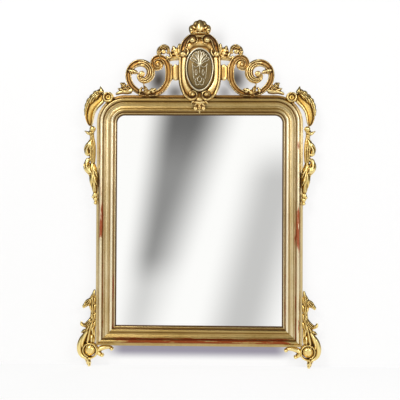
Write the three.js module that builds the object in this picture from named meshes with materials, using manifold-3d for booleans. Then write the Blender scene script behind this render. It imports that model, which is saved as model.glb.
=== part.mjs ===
// An overmantel mirror: a gilt moulded frame with rounded top corners and mitred bottom corners,
// a pierced carved crest, carved corner scrolls, side drops and scrolled feet, the glass with its
// wedges and backing planks, and two iron hanging rings.
//
// Millimetres. +X is to the right for someone who looks at the glass, +Z is up, and the front
// faces -Y. Depths d are counted forward from the wall plane, so y = -d. Heights are counted from
// the frame's bottom edge while the pieces are built.

import * as THREE from 'three';
import { mergeVertices } from 'three/addons/utils/BufferGeometryUtils.js';
import Module from 'manifold-3d';

const wasm = await Module();
wasm.setup();

// ---------------------------------------------------------------- Sizes

// The frame
const frameWidth = 826;
const frameHeight = 1004;
const mouldingWidth = 82;
const cornerRadius = 112; // outer radius of the rounded top corners
const cornerSteps = 7;
const fitGap = 0.3; // left between two pieces that touch

// The moulding: offsets run in from the outer edge or out from the sight edge
const edgeDepth = 26;
const edgeEase = 1.5;
const lipWidth = 4;
const beadOffset = 16;
const beadRadius = 6;
const beadDepth = 48;
const quirkWidth = 5;
const quirkDepth = 34;
const filletWidth = 5;
const filletDepth = 43;
const ogeeStartDepth = 38;
const ogeeLowDepth = 33;
const ogeeTopOffset = 23; // from the sight edge
const ogeeTopDepth = 42;
const innerGrooveDepth = 29;
const innerGrooveWidth = 7;
const innerBeadRadius = 3;
const innerBeadOffset = 9; // from the sight edge
const innerBeadDepth = 33;
const sightDepth = 24;

// Glass and backing
const glassThickness = 4;
const glassLap = 10; // the glass goes this far behind the sight edge
const wedgeThickness = 7;
const wedgeWidth = 8;
const wedgeLength = 52;
const plankThickness = 8;
const plankInset = 1.5; // the planks lie this far in from the frame's back
const plankLap = 24; // the planks go this far behind the sight edge
const plankCount = 3;

// Joints inside the frame
const tenonLength = 44;
const tenonWidth = 16;
const tenonThickness = 9;
const tenonOffset = 36; // from the outer edge to the tenon's middle
const tenonDepth = 17;
const keyLength = 54;
const keyWidth = 18;
const keyThickness = 6;
const keyOffset = 29; // along both rails, from the outer corner to the key's middle

// Iron: nails, screws, staples and rings
const nailHeadRadius = 3.2;
const nailHeadHeight = 0.9;
const nailShankRadius = 1.1;
const nailLength = 21;
const screwHeadRadius = 4.5;
const screwHeadHeight = 3;
const screwShankRadius = 2;
const screwLength = 28;
const screwInset = 1;
const ringRadius = 19; // to the middle of the wire
const ringWireRadius = 2.2;
const stapleWireRadius = 1.8;
const stapleRadius = 5.6;
const stapleLegLength = 14;
const ringInset = 71; // from the start of a rounded corner in to the ring
const ringDrop = 40; // from the frame's top edge to the staple
const ringStandOff = 3.6; // from the frame's back to the middle of the ring's wire

// The carvings are drawn in units of their own
const carvingUnit = 1; // mm for each unit

// The crest
const crestBack = 18;
const battenSpread = 48; // from the centre line to the middle of each batten
const battenWidth = 36;
const battenTop = 188; // above the frame's top edge
const battenSeat = 38; // below the frame's top edge
const railScrewDrop = 16;
const crestScrewHeight = 110;
const boardEdgeDepth = 34;
const boardDepth = 44;
const apronTop = 4; // above the frame's top edge: below it the cartouche swells over the moulding
const apronDrop = 38;
const apronRise = 20;
const bossHalfWidth = 53;
const bossHalfHeight = 88;
const bossHeight = 102; // of its centre above the frame's top edge
const bossSwell = 0.05; // how much wider it is above its centre
const bossThickness = 15;
const finialWidth = 74;
const finialLobes = 7;
const crestRise = 24; // how far the scrolls stand proud of the crest's back

// Corners, drops and feet
const cornerRise = 32;
const dropRise = 22;
const footRise = 30;
const footTipDrop = 84; // from the frame's bottom edge to the tips that it stands on
const mountHeight = 24; // of the wall mount above the frame's bottom edge

// Worked out from the sizes above
const halfWidth = frameWidth / 2;
const cornerX = halfWidth - cornerRadius;
const cornerZ = frameHeight - cornerRadius;
const mitreGap = fitGap / Math.SQRT2;
const plankRabbetDepth = plankInset + plankThickness + fitGap;
const wedgeBack = plankRabbetDepth + fitGap;
const glassBack = wedgeBack + wedgeThickness + fitGap;
const glassRabbetDepth = glassBack + glassThickness + fitGap;

// ---------------------------------------------------------------- Solids

// A solid from vertices and triangles, turned so that its faces point outwards.
function solidFrom(vertices, triangles) {
  let volume = 0;
  const [a, b, c] = [new THREE.Vector3(), new THREE.Vector3(), new THREE.Vector3()];
  for (let i = 0; i < triangles.length; i += 3) {
    a.fromArray(vertices, 3 * triangles[i]);
    b.fromArray(vertices, 3 * triangles[i + 1]);
    c.fromArray(vertices, 3 * triangles[i + 2]);
    volume += a.dot(b.cross(c));
  }
  const triVerts = new Uint32Array(volume < 0 ? [...triangles].reverse() : triangles);
  return new wasm.Manifold(
    new wasm.Mesh({ numProp: 3, vertProperties: new Float32Array(vertices), triVerts }),
  );
}

// A three.js geometry as a solid: shared vertices are merged and empty triangles left out.
function solidOf(geometry) {
  geometry.deleteAttribute('normal');
  geometry.deleteAttribute('uv');
  const merged = mergeVertices(geometry, 1e-3);
  const corners = merged.index.array;
  const kept = [];
  for (let i = 0; i < corners.length; i += 3) {
    const [a, b, c] = [corners[i], corners[i + 1], corners[i + 2]];
    if (a !== b && b !== c && c !== a) kept.push(a, b, c);
  }
  return solidFrom(merged.attributes.position.array, kept);
}

function join(...solids) {
  return solids.reduce((whole, solid) => whole.add(solid));
}

function cut(solid, ...tools) {
  return tools.reduce((rest, tool) => rest.subtract(tool), solid);
}

// The carved piece that is left after a cut, without the chips that the cut sets free.
function withoutChips(solid) {
  const volumes = solid.decompose().map((body) => ({ body, volume: body.volume() }));
  return volumes.reduce((most, next) => (next.volume > most.volume ? next : most)).body;
}

function mirrored(solid) {
  const { vertProperties, triVerts, numProp } = solid.getMesh();
  const vertices = Array.from(vertProperties, (value, i) => (i % numProp === 0 ? -value : value));
  return solidFrom(vertices, Array.from(triVerts));
}

const both = (solid) => join(solid, mirrored(solid));

// Rings of equal length skinned into one body. section is a flat copy of a ring, for the two ends.
function loft(rings, section, closed = false) {
  const n = section.length;
  const triangles = [];
  const spans = closed ? rings.length : rings.length - 1;
  for (let i = 0; i < spans; i += 1) {
    const a = i * n;
    const b = ((i + 1) % rings.length) * n;
    for (let j = 0; j < n; j += 1) {
      const k = (j + 1) % n;
      triangles.push(a + j, b + j, b + k, a + j, b + k, a + k);
    }
  }
  if (!closed) {
    const end = (rings.length - 1) * n;
    const flat = section.map(([u, v]) => new THREE.Vector2(u, v));
    const forward = THREE.ShapeUtils.area(flat) > 0;
    for (const face of THREE.ShapeUtils.triangulateShape(flat, [])) {
      const [p, q, r] = forward ? face : [...face].reverse();
      triangles.push(p, q, r, end + r, end + q, end + p);
    }
  }
  return solidFrom(rings.flat(2), triangles);
}

function block([xMin, xMax], [dMin, dMax], [zMin, zMax], grow = 0) {
  const box = new THREE.BoxGeometry(
    xMax - xMin + 2 * grow,
    dMax - dMin + 2 * grow,
    zMax - zMin + 2 * grow,
  );
  return solidOf(box.translate((xMin + xMax) / 2, -(dMin + dMax) / 2, (zMin + zMax) / 2));
}

// A turned piece whose axis runs front to back. profile holds [radius, depth] from axis to axis.
function turned(profile, x, z, sides = 6) {
  const points = profile.map(([radius, depth]) => new THREE.Vector2(radius, -depth));
  return solidOf(new THREE.LatheGeometry(points, sides).translate(x, 0, z));
}

// ---------------------------------------------------------------- Carved bands

// Cross-sections of a carved band: [share across, up], from one edge at the back to the other.
const domed = [[-1, 0], [-1, 0.5], [-0.5, 0.94], [0.5, 0.94], [1, 0.5], [1, 0]];
const hollowed = [[-1, 0], [-1, 0.75], [-0.72, 1], [0, 0.62], [0.72, 1], [1, 0.75], [1, 0]];
const ridged = [[-1, 0], [-1, 0.4], [0, 1], [1, 0.4], [1, 0]];

// A spiral from an eye out to the point where it joins a band: the radius grows as turn^swell.
// hand is 1 where the angle grows on the way out, and -1 where it shrinks. widths are at the eye,
// halfway and at the joint.
function volute({ eye, eyeRadius, joint, turns, hand, swell = 1, widths }) {
  const [x, z] = [joint[0] - eye[0], joint[1] - eye[1]];
  const reach = Math.hypot(x, z);
  const angle = Math.atan2(z, x);
  const steps = Math.ceil(turns * 8);
  const route = [];
  for (let i = 0; i <= steps; i += 1) {
    const t = i / steps;
    const radius = eyeRadius + (reach - eyeRadius) * t ** swell;
    const turn = angle - hand * turns * 2 * Math.PI * (1 - t);
    const half = t < 0.5 ? 0 : 1;
    const width = THREE.MathUtils.lerp(widths[half], widths[half + 1], 2 * t - half);
    route.push([eye[0] + radius * Math.cos(turn), eye[1] + radius * Math.sin(turn), width]);
  }
  return route;
}

// Drawn places across from the middle, and up from the frame's top edge.
const fromMiddle = (...places) => places.map((place) => place * carvingUnit);
const aboveFrame = (...places) => places.map((place) => frameHeight + place * carvingUnit);

// A carved band along a smooth route of [x, z, width], drawn about an origin in carving units. Its back is flat at depth
// back and its front stands up to rise proud of that, less by the share flare where the band is
// narrow. The inner edge never passes the centre of a bend. lift adds depth to the front by place.
function band(origin, route, options) {
  const { back, rise, section = domed, step = 18, flare = 0.65, lift = null, grow = 0 } = options;
  const curve = new THREE.CatmullRomCurve3(
    route.map(([x, z, width]) => new THREE.Vector3(
      origin[0] + x * carvingUnit,
      origin[1] + z * carvingUnit,
      width * carvingUnit,
    )),
    false,
    'centripetal',
  );
  const widest = Math.max(...route.map((point) => point[2])) * carvingUnit;
  const steps = Math.max(3, Math.round(curve.getLength() / step));
  const places = Array.from({ length: steps + 1 }, (_, i) => curve.getPointAt(i / steps));
  const headings = Array.from({ length: steps + 1 }, (_, i) => {
    const tangent = curve.getTangentAt(i / steps);
    return Math.atan2(tangent.y, tangent.x);
  });
  const rings = places.map(({ x, y: z, z: width }, i) => {
    const before = Math.max(i - 1, 0);
    const after = Math.min(i + 1, steps);
    const turn = Math.atan2(
      Math.sin(headings[after] - headings[before]),
      Math.cos(headings[after] - headings[before]),
    );
    const run = Math.hypot(places[after].x - places[before].x, places[after].y - places[before].y);
    const bendRadius = run / Math.max(Math.abs(turn), 1e-6);
    const fullness = 1 - flare + (flare * width) / widest;
    const height = rise * fullness + (lift ? lift(x, z) : 0) + grow;
    return section.map(([share, up]) => {
      const inner = Math.sign(share) === Math.sign(turn);
      const half = inner ? Math.min(width / 2, 0.85 * bendRadius) : width / 2;
      const side = share * (half + grow);
      const depth = up === 0 ? back - grow : back + up * height;
      return [
        x - side * Math.sin(headings[i]),
        -depth,
        z + side * Math.cos(headings[i]),
      ];
    });
  });
  return loft(rings, section);
}

// A round boss with a domed face.
function button(origin, [x, z, diameter], back, front, grow = 0) {
  const radius = (diameter / 2) * carvingUnit + grow;
  const height = front - back + 2 * grow;
  const low = back - grow;
  const profile = [
    [0, low], [radius, low], [radius, low + 0.55 * height],
    [0.7 * radius, low + 0.9 * height], [0, low + height],
  ];
  return turned(profile, origin[0] + x * carvingUnit, origin[1] + z * carvingUnit, 10);
}

// A plate with a flat back and a stepped or domed front: levels hold [scale, depth] about a centre.
function plate(outline, centre, levels, { lift = null, grow = 0 } = {}) {
  const rings = levels.map(([scale, depth], level) => outline.map(([x, z]) => {
    const [dx, dz] = [x - centre[0], z - centre[1]];
    const reach = scale + grow / Math.hypot(dx, dz);
    const [px, pz] = [centre[0] + dx * reach, centre[1] + dz * reach];
    const raised = level > 0 && lift ? lift(px, pz) : 0;
    const shift = level > 0 ? grow : -grow;
    return [px, -(depth + raised + shift), pz];
  }));
  return loft(rings, outline);
}

// ---------------------------------------------------------------- The moulded frame

// The moulding's section as [u, d]: u from the outer edge inwards, d forward from the back.
function mouldingSection() {
  const beadStart = beadOffset - beadRadius;
  const beadEnd = beadOffset + beadRadius;
  const filletStart = beadEnd + quirkWidth;
  const filletEnd = filletStart + filletWidth;
  const ogeeTop = mouldingWidth - ogeeTopOffset;
  const innerBead = mouldingWidth - innerBeadOffset;
  const grooveEnd = innerBead - innerBeadRadius;
  const glassEdge = mouldingWidth - glassLap;
  const plankEdge = mouldingWidth - plankLap;
  const line = new THREE.Path();
  line.moveTo(0, 0);
  line.lineTo(0, edgeDepth - edgeEase);
  line.lineTo(edgeEase, edgeDepth);
  line.lineTo(lipWidth, edgeDepth);
  line.quadraticCurveTo(beadStart, edgeDepth, beadStart, beadDepth - beadRadius);
  line.absarc(beadOffset, beadDepth - beadRadius, beadRadius, Math.PI, 0, true);
  line.lineTo(beadEnd, quirkDepth);
  line.lineTo(filletStart, quirkDepth);
  line.lineTo(filletStart, filletDepth);
  line.lineTo(filletEnd, filletDepth);
  line.lineTo(filletEnd, ogeeStartDepth);
  line.bezierCurveTo(
    filletEnd + 0.35 * (ogeeTop - filletEnd), ogeeLowDepth,
    filletEnd + 0.65 * (ogeeTop - filletEnd), ogeeLowDepth,
    ogeeTop, ogeeTopDepth,
  );
  line.quadraticCurveTo(ogeeTop + 4, ogeeTopDepth, grooveEnd - innerGrooveWidth, innerGrooveDepth);
  line.lineTo(grooveEnd, innerGrooveDepth);
  line.absarc(innerBead, innerBeadDepth - innerBeadRadius, innerBeadRadius, Math.PI, 0, true);
  line.lineTo(mouldingWidth, sightDepth);
  line.lineTo(mouldingWidth, glassRabbetDepth);
  line.lineTo(glassEdge, glassRabbetDepth);
  line.lineTo(glassEdge, plankRabbetDepth);
  line.lineTo(plankEdge, plankRabbetDepth);
  line.lineTo(plankEdge, 0);
  const points = line.getPoints(3);
  return points.filter((p, i) => i === 0 || p.distanceTo(points[i - 1]) > 1e-6).map((p) => [p.x, p.y]);
}

// The section that carved pieces are cut to: the moulding's front bridged from top to top, a
// clearance bigger all round, so that a carved piece rides on the lip, the bead and the ogee.
function seatSection(section) {
  const front = section.filter(([u, d]) => d >= sightDepth).sort((a, b) => a[0] - b[0] || a[1] - b[1]);
  const hull = [];
  for (const [u, d] of front) {
    while (hull.length > 1) {
      const [[u0, d0], [u1, d1]] = hull.slice(-2);
      if ((u1 - u0) * (d - d0) - (d1 - d0) * (u - u0) < 0) break;
      hull.pop();
    }
    hull.push([u, d]);
  }
  const grown = hull.map(([u, d]) => [u + (u < beadOffset ? -fitGap : fitGap), d + fitGap]);
  return [[-fitGap, -1], ...grown, [mouldingWidth + fitGap, -1]];
}

// Stations: each turns an offset u into [x, z]. side is -1 on the left and 1 on the right.
const mitreStation = (side, dx = 0, dz = 0) => (u) => [side * (halfWidth - u - dx), u + dz];
const stileEnd = (side) => (u) => [side * (halfWidth - u), cornerZ - fitGap / 2];
const railEnd = (side) => (u) => [side * (cornerX - fitGap / 2), frameHeight - u];

function cornerStations(side) {
  return Array.from({ length: cornerSteps + 1 }, (_, i) => {
    const angle = (i / cornerSteps) * (Math.PI / 2);
    const dz = i === 0 ? fitGap / 2 : 0;
    const dx = i === cornerSteps ? fitGap / 2 : 0;
    return (u) => [
      side * (cornerX + dx + (cornerRadius - u) * Math.cos(angle)),
      cornerZ + dz + (cornerRadius - u) * Math.sin(angle),
    ];
  });
}

function member(section, stations, closed = false) {
  const rings = stations.map((station) => section.map(([u, d]) => {
    const [x, z] = station(u);
    return [x, -d, z];
  }));
  return loft(rings, section, closed);
}

// A rounded-topped outline that keeps a distance in from the frame's outer edge.
function insetShape(inset, bottom, top) {
  const half = halfWidth - inset;
  const shape = new THREE.Shape();
  shape.moveTo(-half, bottom);
  shape.lineTo(half, bottom);
  if (top > cornerZ) {
    const arcs = [...cornerStations(1), ...cornerStations(-1).reverse()].map((station) => station(inset));
    arcs.forEach(([x, z]) => shape.lineTo(x, z));
  } else {
    shape.lineTo(half, top);
    shape.lineTo(-half, top);
  }
  return shape;
}

// A flat board of an outline in the plane of the wall, from depth back to depth back + thickness.
function board(shape, back, thickness) {
  const flat = new THREE.ExtrudeGeometry(shape, { depth: thickness, bevelEnabled: false, curveSegments: 5 });
  return solidOf(flat.rotateX(Math.PI / 2).translate(0, -back, 0));
}

// Loose tenons: one stands up out of each stile, one lies in each end of the top rail.
function tenon(side, upright, grow = 0) {
  const depths = [tenonDepth - tenonThickness / 2, tenonDepth + tenonThickness / 2];
  const across = upright ? halfWidth - tenonOffset : frameHeight - tenonOffset;
  const along = upright ? cornerZ : cornerX;
  const width = [across - tenonWidth / 2, across + tenonWidth / 2];
  const length = [along - tenonLength / 2, along + tenonLength / 2];
  const [x, z] = upright ? [width, length] : [length, width];
  const right = block(x, depths, z, grow);
  return side > 0 ? right : mirrored(right);
}

// Keys: a flat strip let into the back across each bottom mitre.
function mitreKey(side, grow = 0) {
  const thickness = keyThickness + grow;
  const strip = new THREE.BoxGeometry(keyLength + 2 * grow, thickness, keyWidth + 2 * grow);
  strip.translate(0, -thickness / 2, 0);
  strip.rotateY(-side * (Math.PI / 4));
  return solidOf(strip.translate(side * (halfWidth - keyOffset), grow > 0 ? grow : -grow, keyOffset));
}

const section = mouldingSection();
const seat = member(
  seatSection(section),
  [
    mitreStation(-1),
    ...cornerStations(-1),
    ...cornerStations(1).reverse(),
    mitreStation(1),
  ],
  true,
);

// ---------------------------------------------------------------- Iron

function nail(x, z, grow = 0) {
  const head = plankInset - fitGap;
  const profile = [
    [0, head - nailHeadHeight], [nailHeadRadius, head - nailHeadHeight], [nailHeadRadius, head],
    [nailShankRadius + grow, head], [nailShankRadius + grow, head + nailLength - 4],
    [0, head + nailLength + 2 * grow],
  ];
  return turned(profile, x, z);
}

function screw(x, z, grow = 0) {
  const head = screwInset;
  const profile = [
    [0, head - grow], [screwHeadRadius + grow, head - grow],
    [screwHeadRadius + grow, head],
    [screwShankRadius + grow, head + screwHeadHeight],
    [screwShankRadius + grow, head + screwLength - 5],
    [0, head + screwLength + 2 * grow],
  ];
  return turned(profile, x, z);
}

// A screw's hole, open to the back.
function screwHole(x, z) {
  const mouth = screwHeadRadius + fitGap;
  return join(screw(x, z, fitGap), turned([[0, -1], [mouth, -1], [mouth, screwInset], [0, screwInset]], x, z));
}

// A wire of round section along a curve, closed on itself or with two flat ends.
function wire(points, radius, sides, closed) {
  const circle = Array.from({ length: sides }, (_, i) => {
    const angle = (i / sides) * 2 * Math.PI;
    return [Math.cos(angle) * radius, Math.sin(angle) * radius];
  });
  const n = points.length;
  const rings = points.map((point, i) => {
    const before = points[closed ? (i + n - 1) % n : Math.max(i - 1, 0)];
    const after = points[closed ? (i + 1) % n : Math.min(i + 1, n - 1)];
    const along = after.clone().sub(before).normalize();
    const flat = Math.abs(along.x) < 1e-6 && Math.abs(points[0].x - points[n - 1].x) < 1e-6;
    const level = flat ? new THREE.Vector3(1, 0, 0) : new THREE.Vector3(0, 1, 0);
    const other = along.clone().cross(level);
    return circle.map(([a, b]) => point.clone().addScaledVector(level, a).addScaledVector(other, b).toArray());
  });
  return loft(rings, circle, closed);
}

const ringX = cornerX - ringInset;
const stapleZ = frameHeight - ringDrop;
const pivotZ = stapleZ - stapleRadius + stapleWireRadius + ringWireRadius + fitGap;

// A staple: two legs in the wood and a round eye behind it, in the plane x = ringX.
function staple(grow = 0) {
  const points = [new THREE.Vector3(ringX, -stapleLegLength - 2 * grow, stapleZ + stapleRadius)];
  const steps = 6;
  for (let i = 0; i <= steps; i += 1) {
    const angle = Math.PI / 2 - (i / steps) * Math.PI;
    const y = ringStandOff + stapleRadius * Math.cos(angle);
    points.push(new THREE.Vector3(ringX, y, stapleZ + stapleRadius * Math.sin(angle)));
  }
  points.push(new THREE.Vector3(ringX, -stapleLegLength - 2 * grow, stapleZ - stapleRadius));
  return wire(points, stapleWireRadius + grow, 6, false);
}

function hangingRing() {
  const steps = 20;
  const points = Array.from({ length: steps }, (_, i) => {
    const angle = (i / steps) * 2 * Math.PI;
    const centreZ = pivotZ - ringRadius;
    return new THREE.Vector3(
      ringX + ringRadius * Math.sin(angle),
      ringStandOff,
      centreZ + ringRadius * Math.cos(angle),
    );
  });
  return wire(points, ringWireRadius, 6, true);
}

// ---------------------------------------------------------------- The crest

const crest = [0, frameHeight];
const crestBand = { back: crestBack, rise: crestRise };

// Below apronTop the cartouche swells forward to pass over the top rail's bead.
function apron(x, z) {
  const t = THREE.MathUtils.clamp((frameHeight + apronTop - z) / apronDrop, 0, 1);
  return apronRise * t * t * (3 - 2 * t);
}

const cartoucheHalf = [
  [39, 234], [58, 218], [76, 205], [82, 188], [82, 152], [85, 80], [84, 44],
  [77, 20], [64, -2], [48, -20], [32, -31], [12, -38],
];

const lowerEye = [28, -2];
const upperEye = [29, 216];

function cartouche(grow = 0) {
  const outline = [
    ...cartoucheHalf,
    ...cartoucheHalf.map(([x, z]) => [-x, z]).reverse(),
  ].map(([x, z]) => [x * carvingUnit, z * carvingUnit + frameHeight]);
  const levels = [[1, crestBack], [1, boardEdgeDepth], [0.92, boardDepth], [0.77, boardDepth], [0.62, boardDepth]];
  const slab = plate(outline, [0, frameHeight + bossHeight], levels, { lift: apron, grow });
  const options = { back: crestBack + 6, step: 16, flare: 0.2, lift: apron, grow };
  const rim = band(
    crest,
    [
      [70, 156, 24], [70, 118, 29], [69, 80, 29], [65, 46, 27], [58, 14, 24],
      ...volute({
        eye: lowerEye, eyeRadius: 13, joint: [50, -9], turns: 0.95, hand: 1, swell: 1.2, widths: [7, 10, 20],
      }).reverse(),
    ],
    { ...options, rise: 30 },
  );
  const ear = band(
    crest,
    [
      ...volute({
        eye: upperEye, eyeRadius: 12, joint: [41, 226], turns: 0.6, hand: -1, widths: [6, 9, 15],
      }),
      [51, 210, 17], [54, 190, 17], [60, 172, 16],
    ],
    { ...options, rise: 28 },
  );
  const lowerBall = button(crest, [...lowerEye, 19], crestBack + 6, 66, grow);
  const upperBall = button(crest, [...upperEye, 26], crestBack + 6, 56, grow);
  const knob = button(crest, [66, 160, 24], crestBack + 6, 57, grow);
  const strap = block(fromMiddle(80, 113), [crestBack + 2, crestBack + 14], aboveFrame(56, 124), grow);
  const spray = band(crest, [[80, 156, 16], [84, 188, 16], [81, 206, 6]], { ...options, rise: 20, section: ridged });
  const tips = band(crest, [[18, -22, 14], [28, -32, 14], [35, -41, 5]], { ...options, rise: 20, section: ridged });
  const right = join(rim, ear, lowerBall, upperBall, knob, strap, spray, tips);
  return join(slab, right, mirrored(right));
}

function ellipse(halfX, halfZ, centreZ, swell) {
  const steps = 28;
  return Array.from({ length: steps }, (_, i) => {
    const angle = (i / steps) * 2 * Math.PI;
    const x = halfX * Math.cos(angle) * (1 + swell * Math.sin(angle));
    return [x, centreZ + halfZ * Math.sin(angle)];
  });
}

// The oval boss on the cartouche: a raised rim, a sunk ring and a domed middle.
function cartoucheBoss() {
  const outline = ellipse(bossHalfWidth, bossHalfHeight, frameHeight + bossHeight, bossSwell);
  const back = boardDepth + fitGap;
  const front = back + bossThickness;
  const levels = [
    [1, back], [1, front - 6], [0.96, front], [0.88, front], [0.8, front - 7], [0.5, front - 3], [0.15, front - 2],
  ];
  return plate(outline, [0, frameHeight + bossHeight], levels);
}

// A shell of lobes over a turned foot: the outline's radius swells once for each lobe.
function crestFinial() {
  const steps = finialLobes * 4;
  const fan = Array.from({ length: steps + 1 }, (_, i) => {
    const angle = -0.35 + (i / steps) * (Math.PI + 0.7);
    const lobe = 1 + 0.1 * Math.abs(Math.sin((i / 4) * Math.PI));
    const x = 0.5 * finialWidth * lobe * Math.cos(angle);
    return [x, aboveFrame(255 + 43 * lobe * Math.sin(angle))[0]];
  });
  const [footZ, middleZ] = aboveFrame(230, 258);
  const outline = [...fan, ...fromMiddle(-22, 22).map((x) => [x, footZ])];
  const levels = [[1, crestBack], [1, crestBack + 14], [0.8, crestBack + 24], [0.45, crestBack + 30]];
  const shell = plate(outline, [0, middleZ], levels);
  const boss = button(crest, [0, 262, 38], crestBack + 6, crestBack + 38);
  const lip = block(fromMiddle(-19, 19), [crestBack + 2, crestBack + 32], aboveFrame(238, 244));
  return join(shell, boss, lip);
}

function pendantLeaf() {
  const options = { back: 24, section: ridged };
  const lobe = band(crest, [[5, -30, 16], [17, -43, 16], [25, -52, 8]], { ...options, rise: 34 });
  const ball = button(crest, [16, -56, 17], 24, 58);
  const middle = band(crest, [[0, -30, 26], [0, -52, 27], [0, -73, 6]], { ...options, rise: 38 });
  return join(middle, both(join(lobe, ball)));
}

// The big scroll beside the cartouche, with the strip that links it to the cartouche.
function cScroll(grow = 0) {
  const main = band(
    crest,
    [
      ...volute({
        eye: [168, 121], eyeRadius: 14, joint: [134, 131], turns: 0.86, hand: 1, swell: 1.5, widths: [9, 20, 25],
      }),
      [126, 108, 25], [125, 80, 23], [129, 52, 22], [142, 29, 22], [161, 12, 20], [184, 4, 18], [206, 2, 18],
    ],
    { ...crestBand, section: hollowed, grow },
  );
  const eye = button(crest, [168, 121, 32], crestBack, crestBack + crestRise + 3, grow);
  const link = band(crest, [[139, 139, 14], [112, 145, 13], [80, 147, 13]], { ...crestBand, rise: 18, grow });
  const leaf = band(
    crest,
    [[204, 0, 14], [194, 16, 16], [172, 22, 6]],
    { back: crestBack + 4, rise: 24, section: ridged, grow },
  );
  return join(main, eye, link, leaf);
}

// The outer scroll: a leaf that curls in on itself, with the stem that runs out along the frame.
function leafScroll(grow = 0) {
  const main = band(
    crest,
    [
      ...volute({
        eye: [232, 84], eyeRadius: 10, joint: [286, 86], turns: 1, hand: -1, swell: 0.85, widths: [10, 36, 22],
      }),
      [284, 60, 22], [273, 37, 22], [255, 20, 21], [234, 7, 20], [212, 2, 18],
    ],
    { ...crestBand, grow },
  );
  const eye = button(crest, [232, 84, 25], crestBack, crestBack + crestRise + 5, grow);
  const leafOptions = { back: crestBack + 2, rise: 22, section: ridged, grow };
  const inner = band(crest, [[284, 96, 20], [266, 94, 18], [246, 88, 9]], leafOptions);
  const sprig = band(crest, [[216, 0, 15], [218, 18, 18], [224, 35, 6]], leafOptions);
  const stem = band(
    crest,
    [[270, 18, 20], [292, 13, 17], [314, 12, 14], [330, 7, 11], [338, 2, 7]],
    { ...crestBand, rise: 20, grow },
  );
  const stemLeaf = band(crest, [[284, 16, 16], [300, 30, 26], [316, 43, 10]], leafOptions);
  return join(main, eye, inner, sprig, stem, stemLeaf);
}

function crestBud() {
  const route = [
    [158, 148, 18], [164, 170, 18], [158, 187, 19], [144, 194, 19], [130, 188, 17], [126, 175, 13], [133, 165, 9],
  ];
  const curl = band(crest, route, { back: crestBack, rise: 24 });
  return join(curl, button(crest, [146, 174, 20], crestBack, crestBack + 18));
}

function shoulderLeaf() {
  return band(
    crest,
    [[86, 146, 26], [95, 166, 36], [102, 182, 29], [108, 198, 8]],
    { back: crestBack, rise: 22, section: ridged },
  );
}

// Two battens up the back of the crest, let into the top rail.
function batten(side, grow = 0) {
  const middle = side * battenSpread;
  return block(
    [middle - battenWidth / 2, middle + battenWidth / 2],
    [fitGap, crestBack - fitGap],
    [frameHeight - battenSeat, frameHeight + battenTop],
    grow,
  );
}

// ---------------------------------------------------------------- Corner scrolls, drops, feet

const corner = [cornerX, cornerZ];
const foot = [halfWidth, 0];

function cornerScroll(grow = 0) {
  const main = band(
    corner,
    [
      ...volute({
        eye: [67, 101], eyeRadius: 15, joint: [69, 121], turns: 1, hand: -1, widths: [8, 11, 12],
      }),
      [84, 115, 22], [98, 100, 34], [116, 84, 37], [131, 66, 38], [140, 44, 39], [143, 22, 35], [141, 2, 26], [137, -14, 13],
    ],
    { back: crestBack, rise: cornerRise, grow },
  );
  const eye = button(corner, [67, 101, 26], crestBack, crestBack + cornerRise, grow);
  const leafOptions = { back: crestBack, rise: 22, section: ridged, grow };
  const back = band(
    corner,
    [[84, 118, 22], [106, 121, 28], [127, 106, 26], [146, 84, 22], [158, 56, 16], [161, 24, 9]],
    leafOptions,
  );
  const tip = band(corner, [[90, 120, 18], [96, 134, 12], [99, 146, 4]], leafOptions);
  return join(main, eye, back, tip);
}

function sideDrop() {
  const options = { back: crestBack, rise: dropRise, step: 21 };
  const leafOptions = { ...options, section: ridged };
  const main = band(
    corner,
    [
      [135, -24, 20], [131, -58, 20], [129, -90, 27], [129, -120, 28], [128, -150, 22],
      [128, -182, 27], [126, -214, 31], [121, -246, 28], [117, -286, 16],
    ],
    options,
  );
  const knot = button(corner, [128, -25, 22], crestBack, crestBack + dropRise + 3);
  const spike = band(corner, [[134, -46, 13], [148, -38, 12], [161, -33, 4]], leafOptions);
  const upper = band(corner, [[132, -74, 18], [143, -93, 26], [151, -110, 20], [146, -124, 9]], leafOptions);
  const lower = band(corner, [[132, -200, 20], [145, -186, 26], [150, -166, 20], [145, -150, 9]], leafOptions);
  const innerUpper = band(corner, [[120, -188, 14], [112, -208, 13], [105, -224, 5]], leafOptions);
  const innerLower = band(corner, [[120, -220, 14], [114, -238, 12], [108, -251, 5]], leafOptions);
  const berries = [[116, -291, 19], [114, -307, 18], [115, -321, 15]].map((berry) => (
    button(corner, berry, crestBack, crestBack + 20)));
  return join(main, knot, spike, upper, lower, innerUpper, innerLower, ...berries);
}

const footEye = [21, -18];

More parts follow.
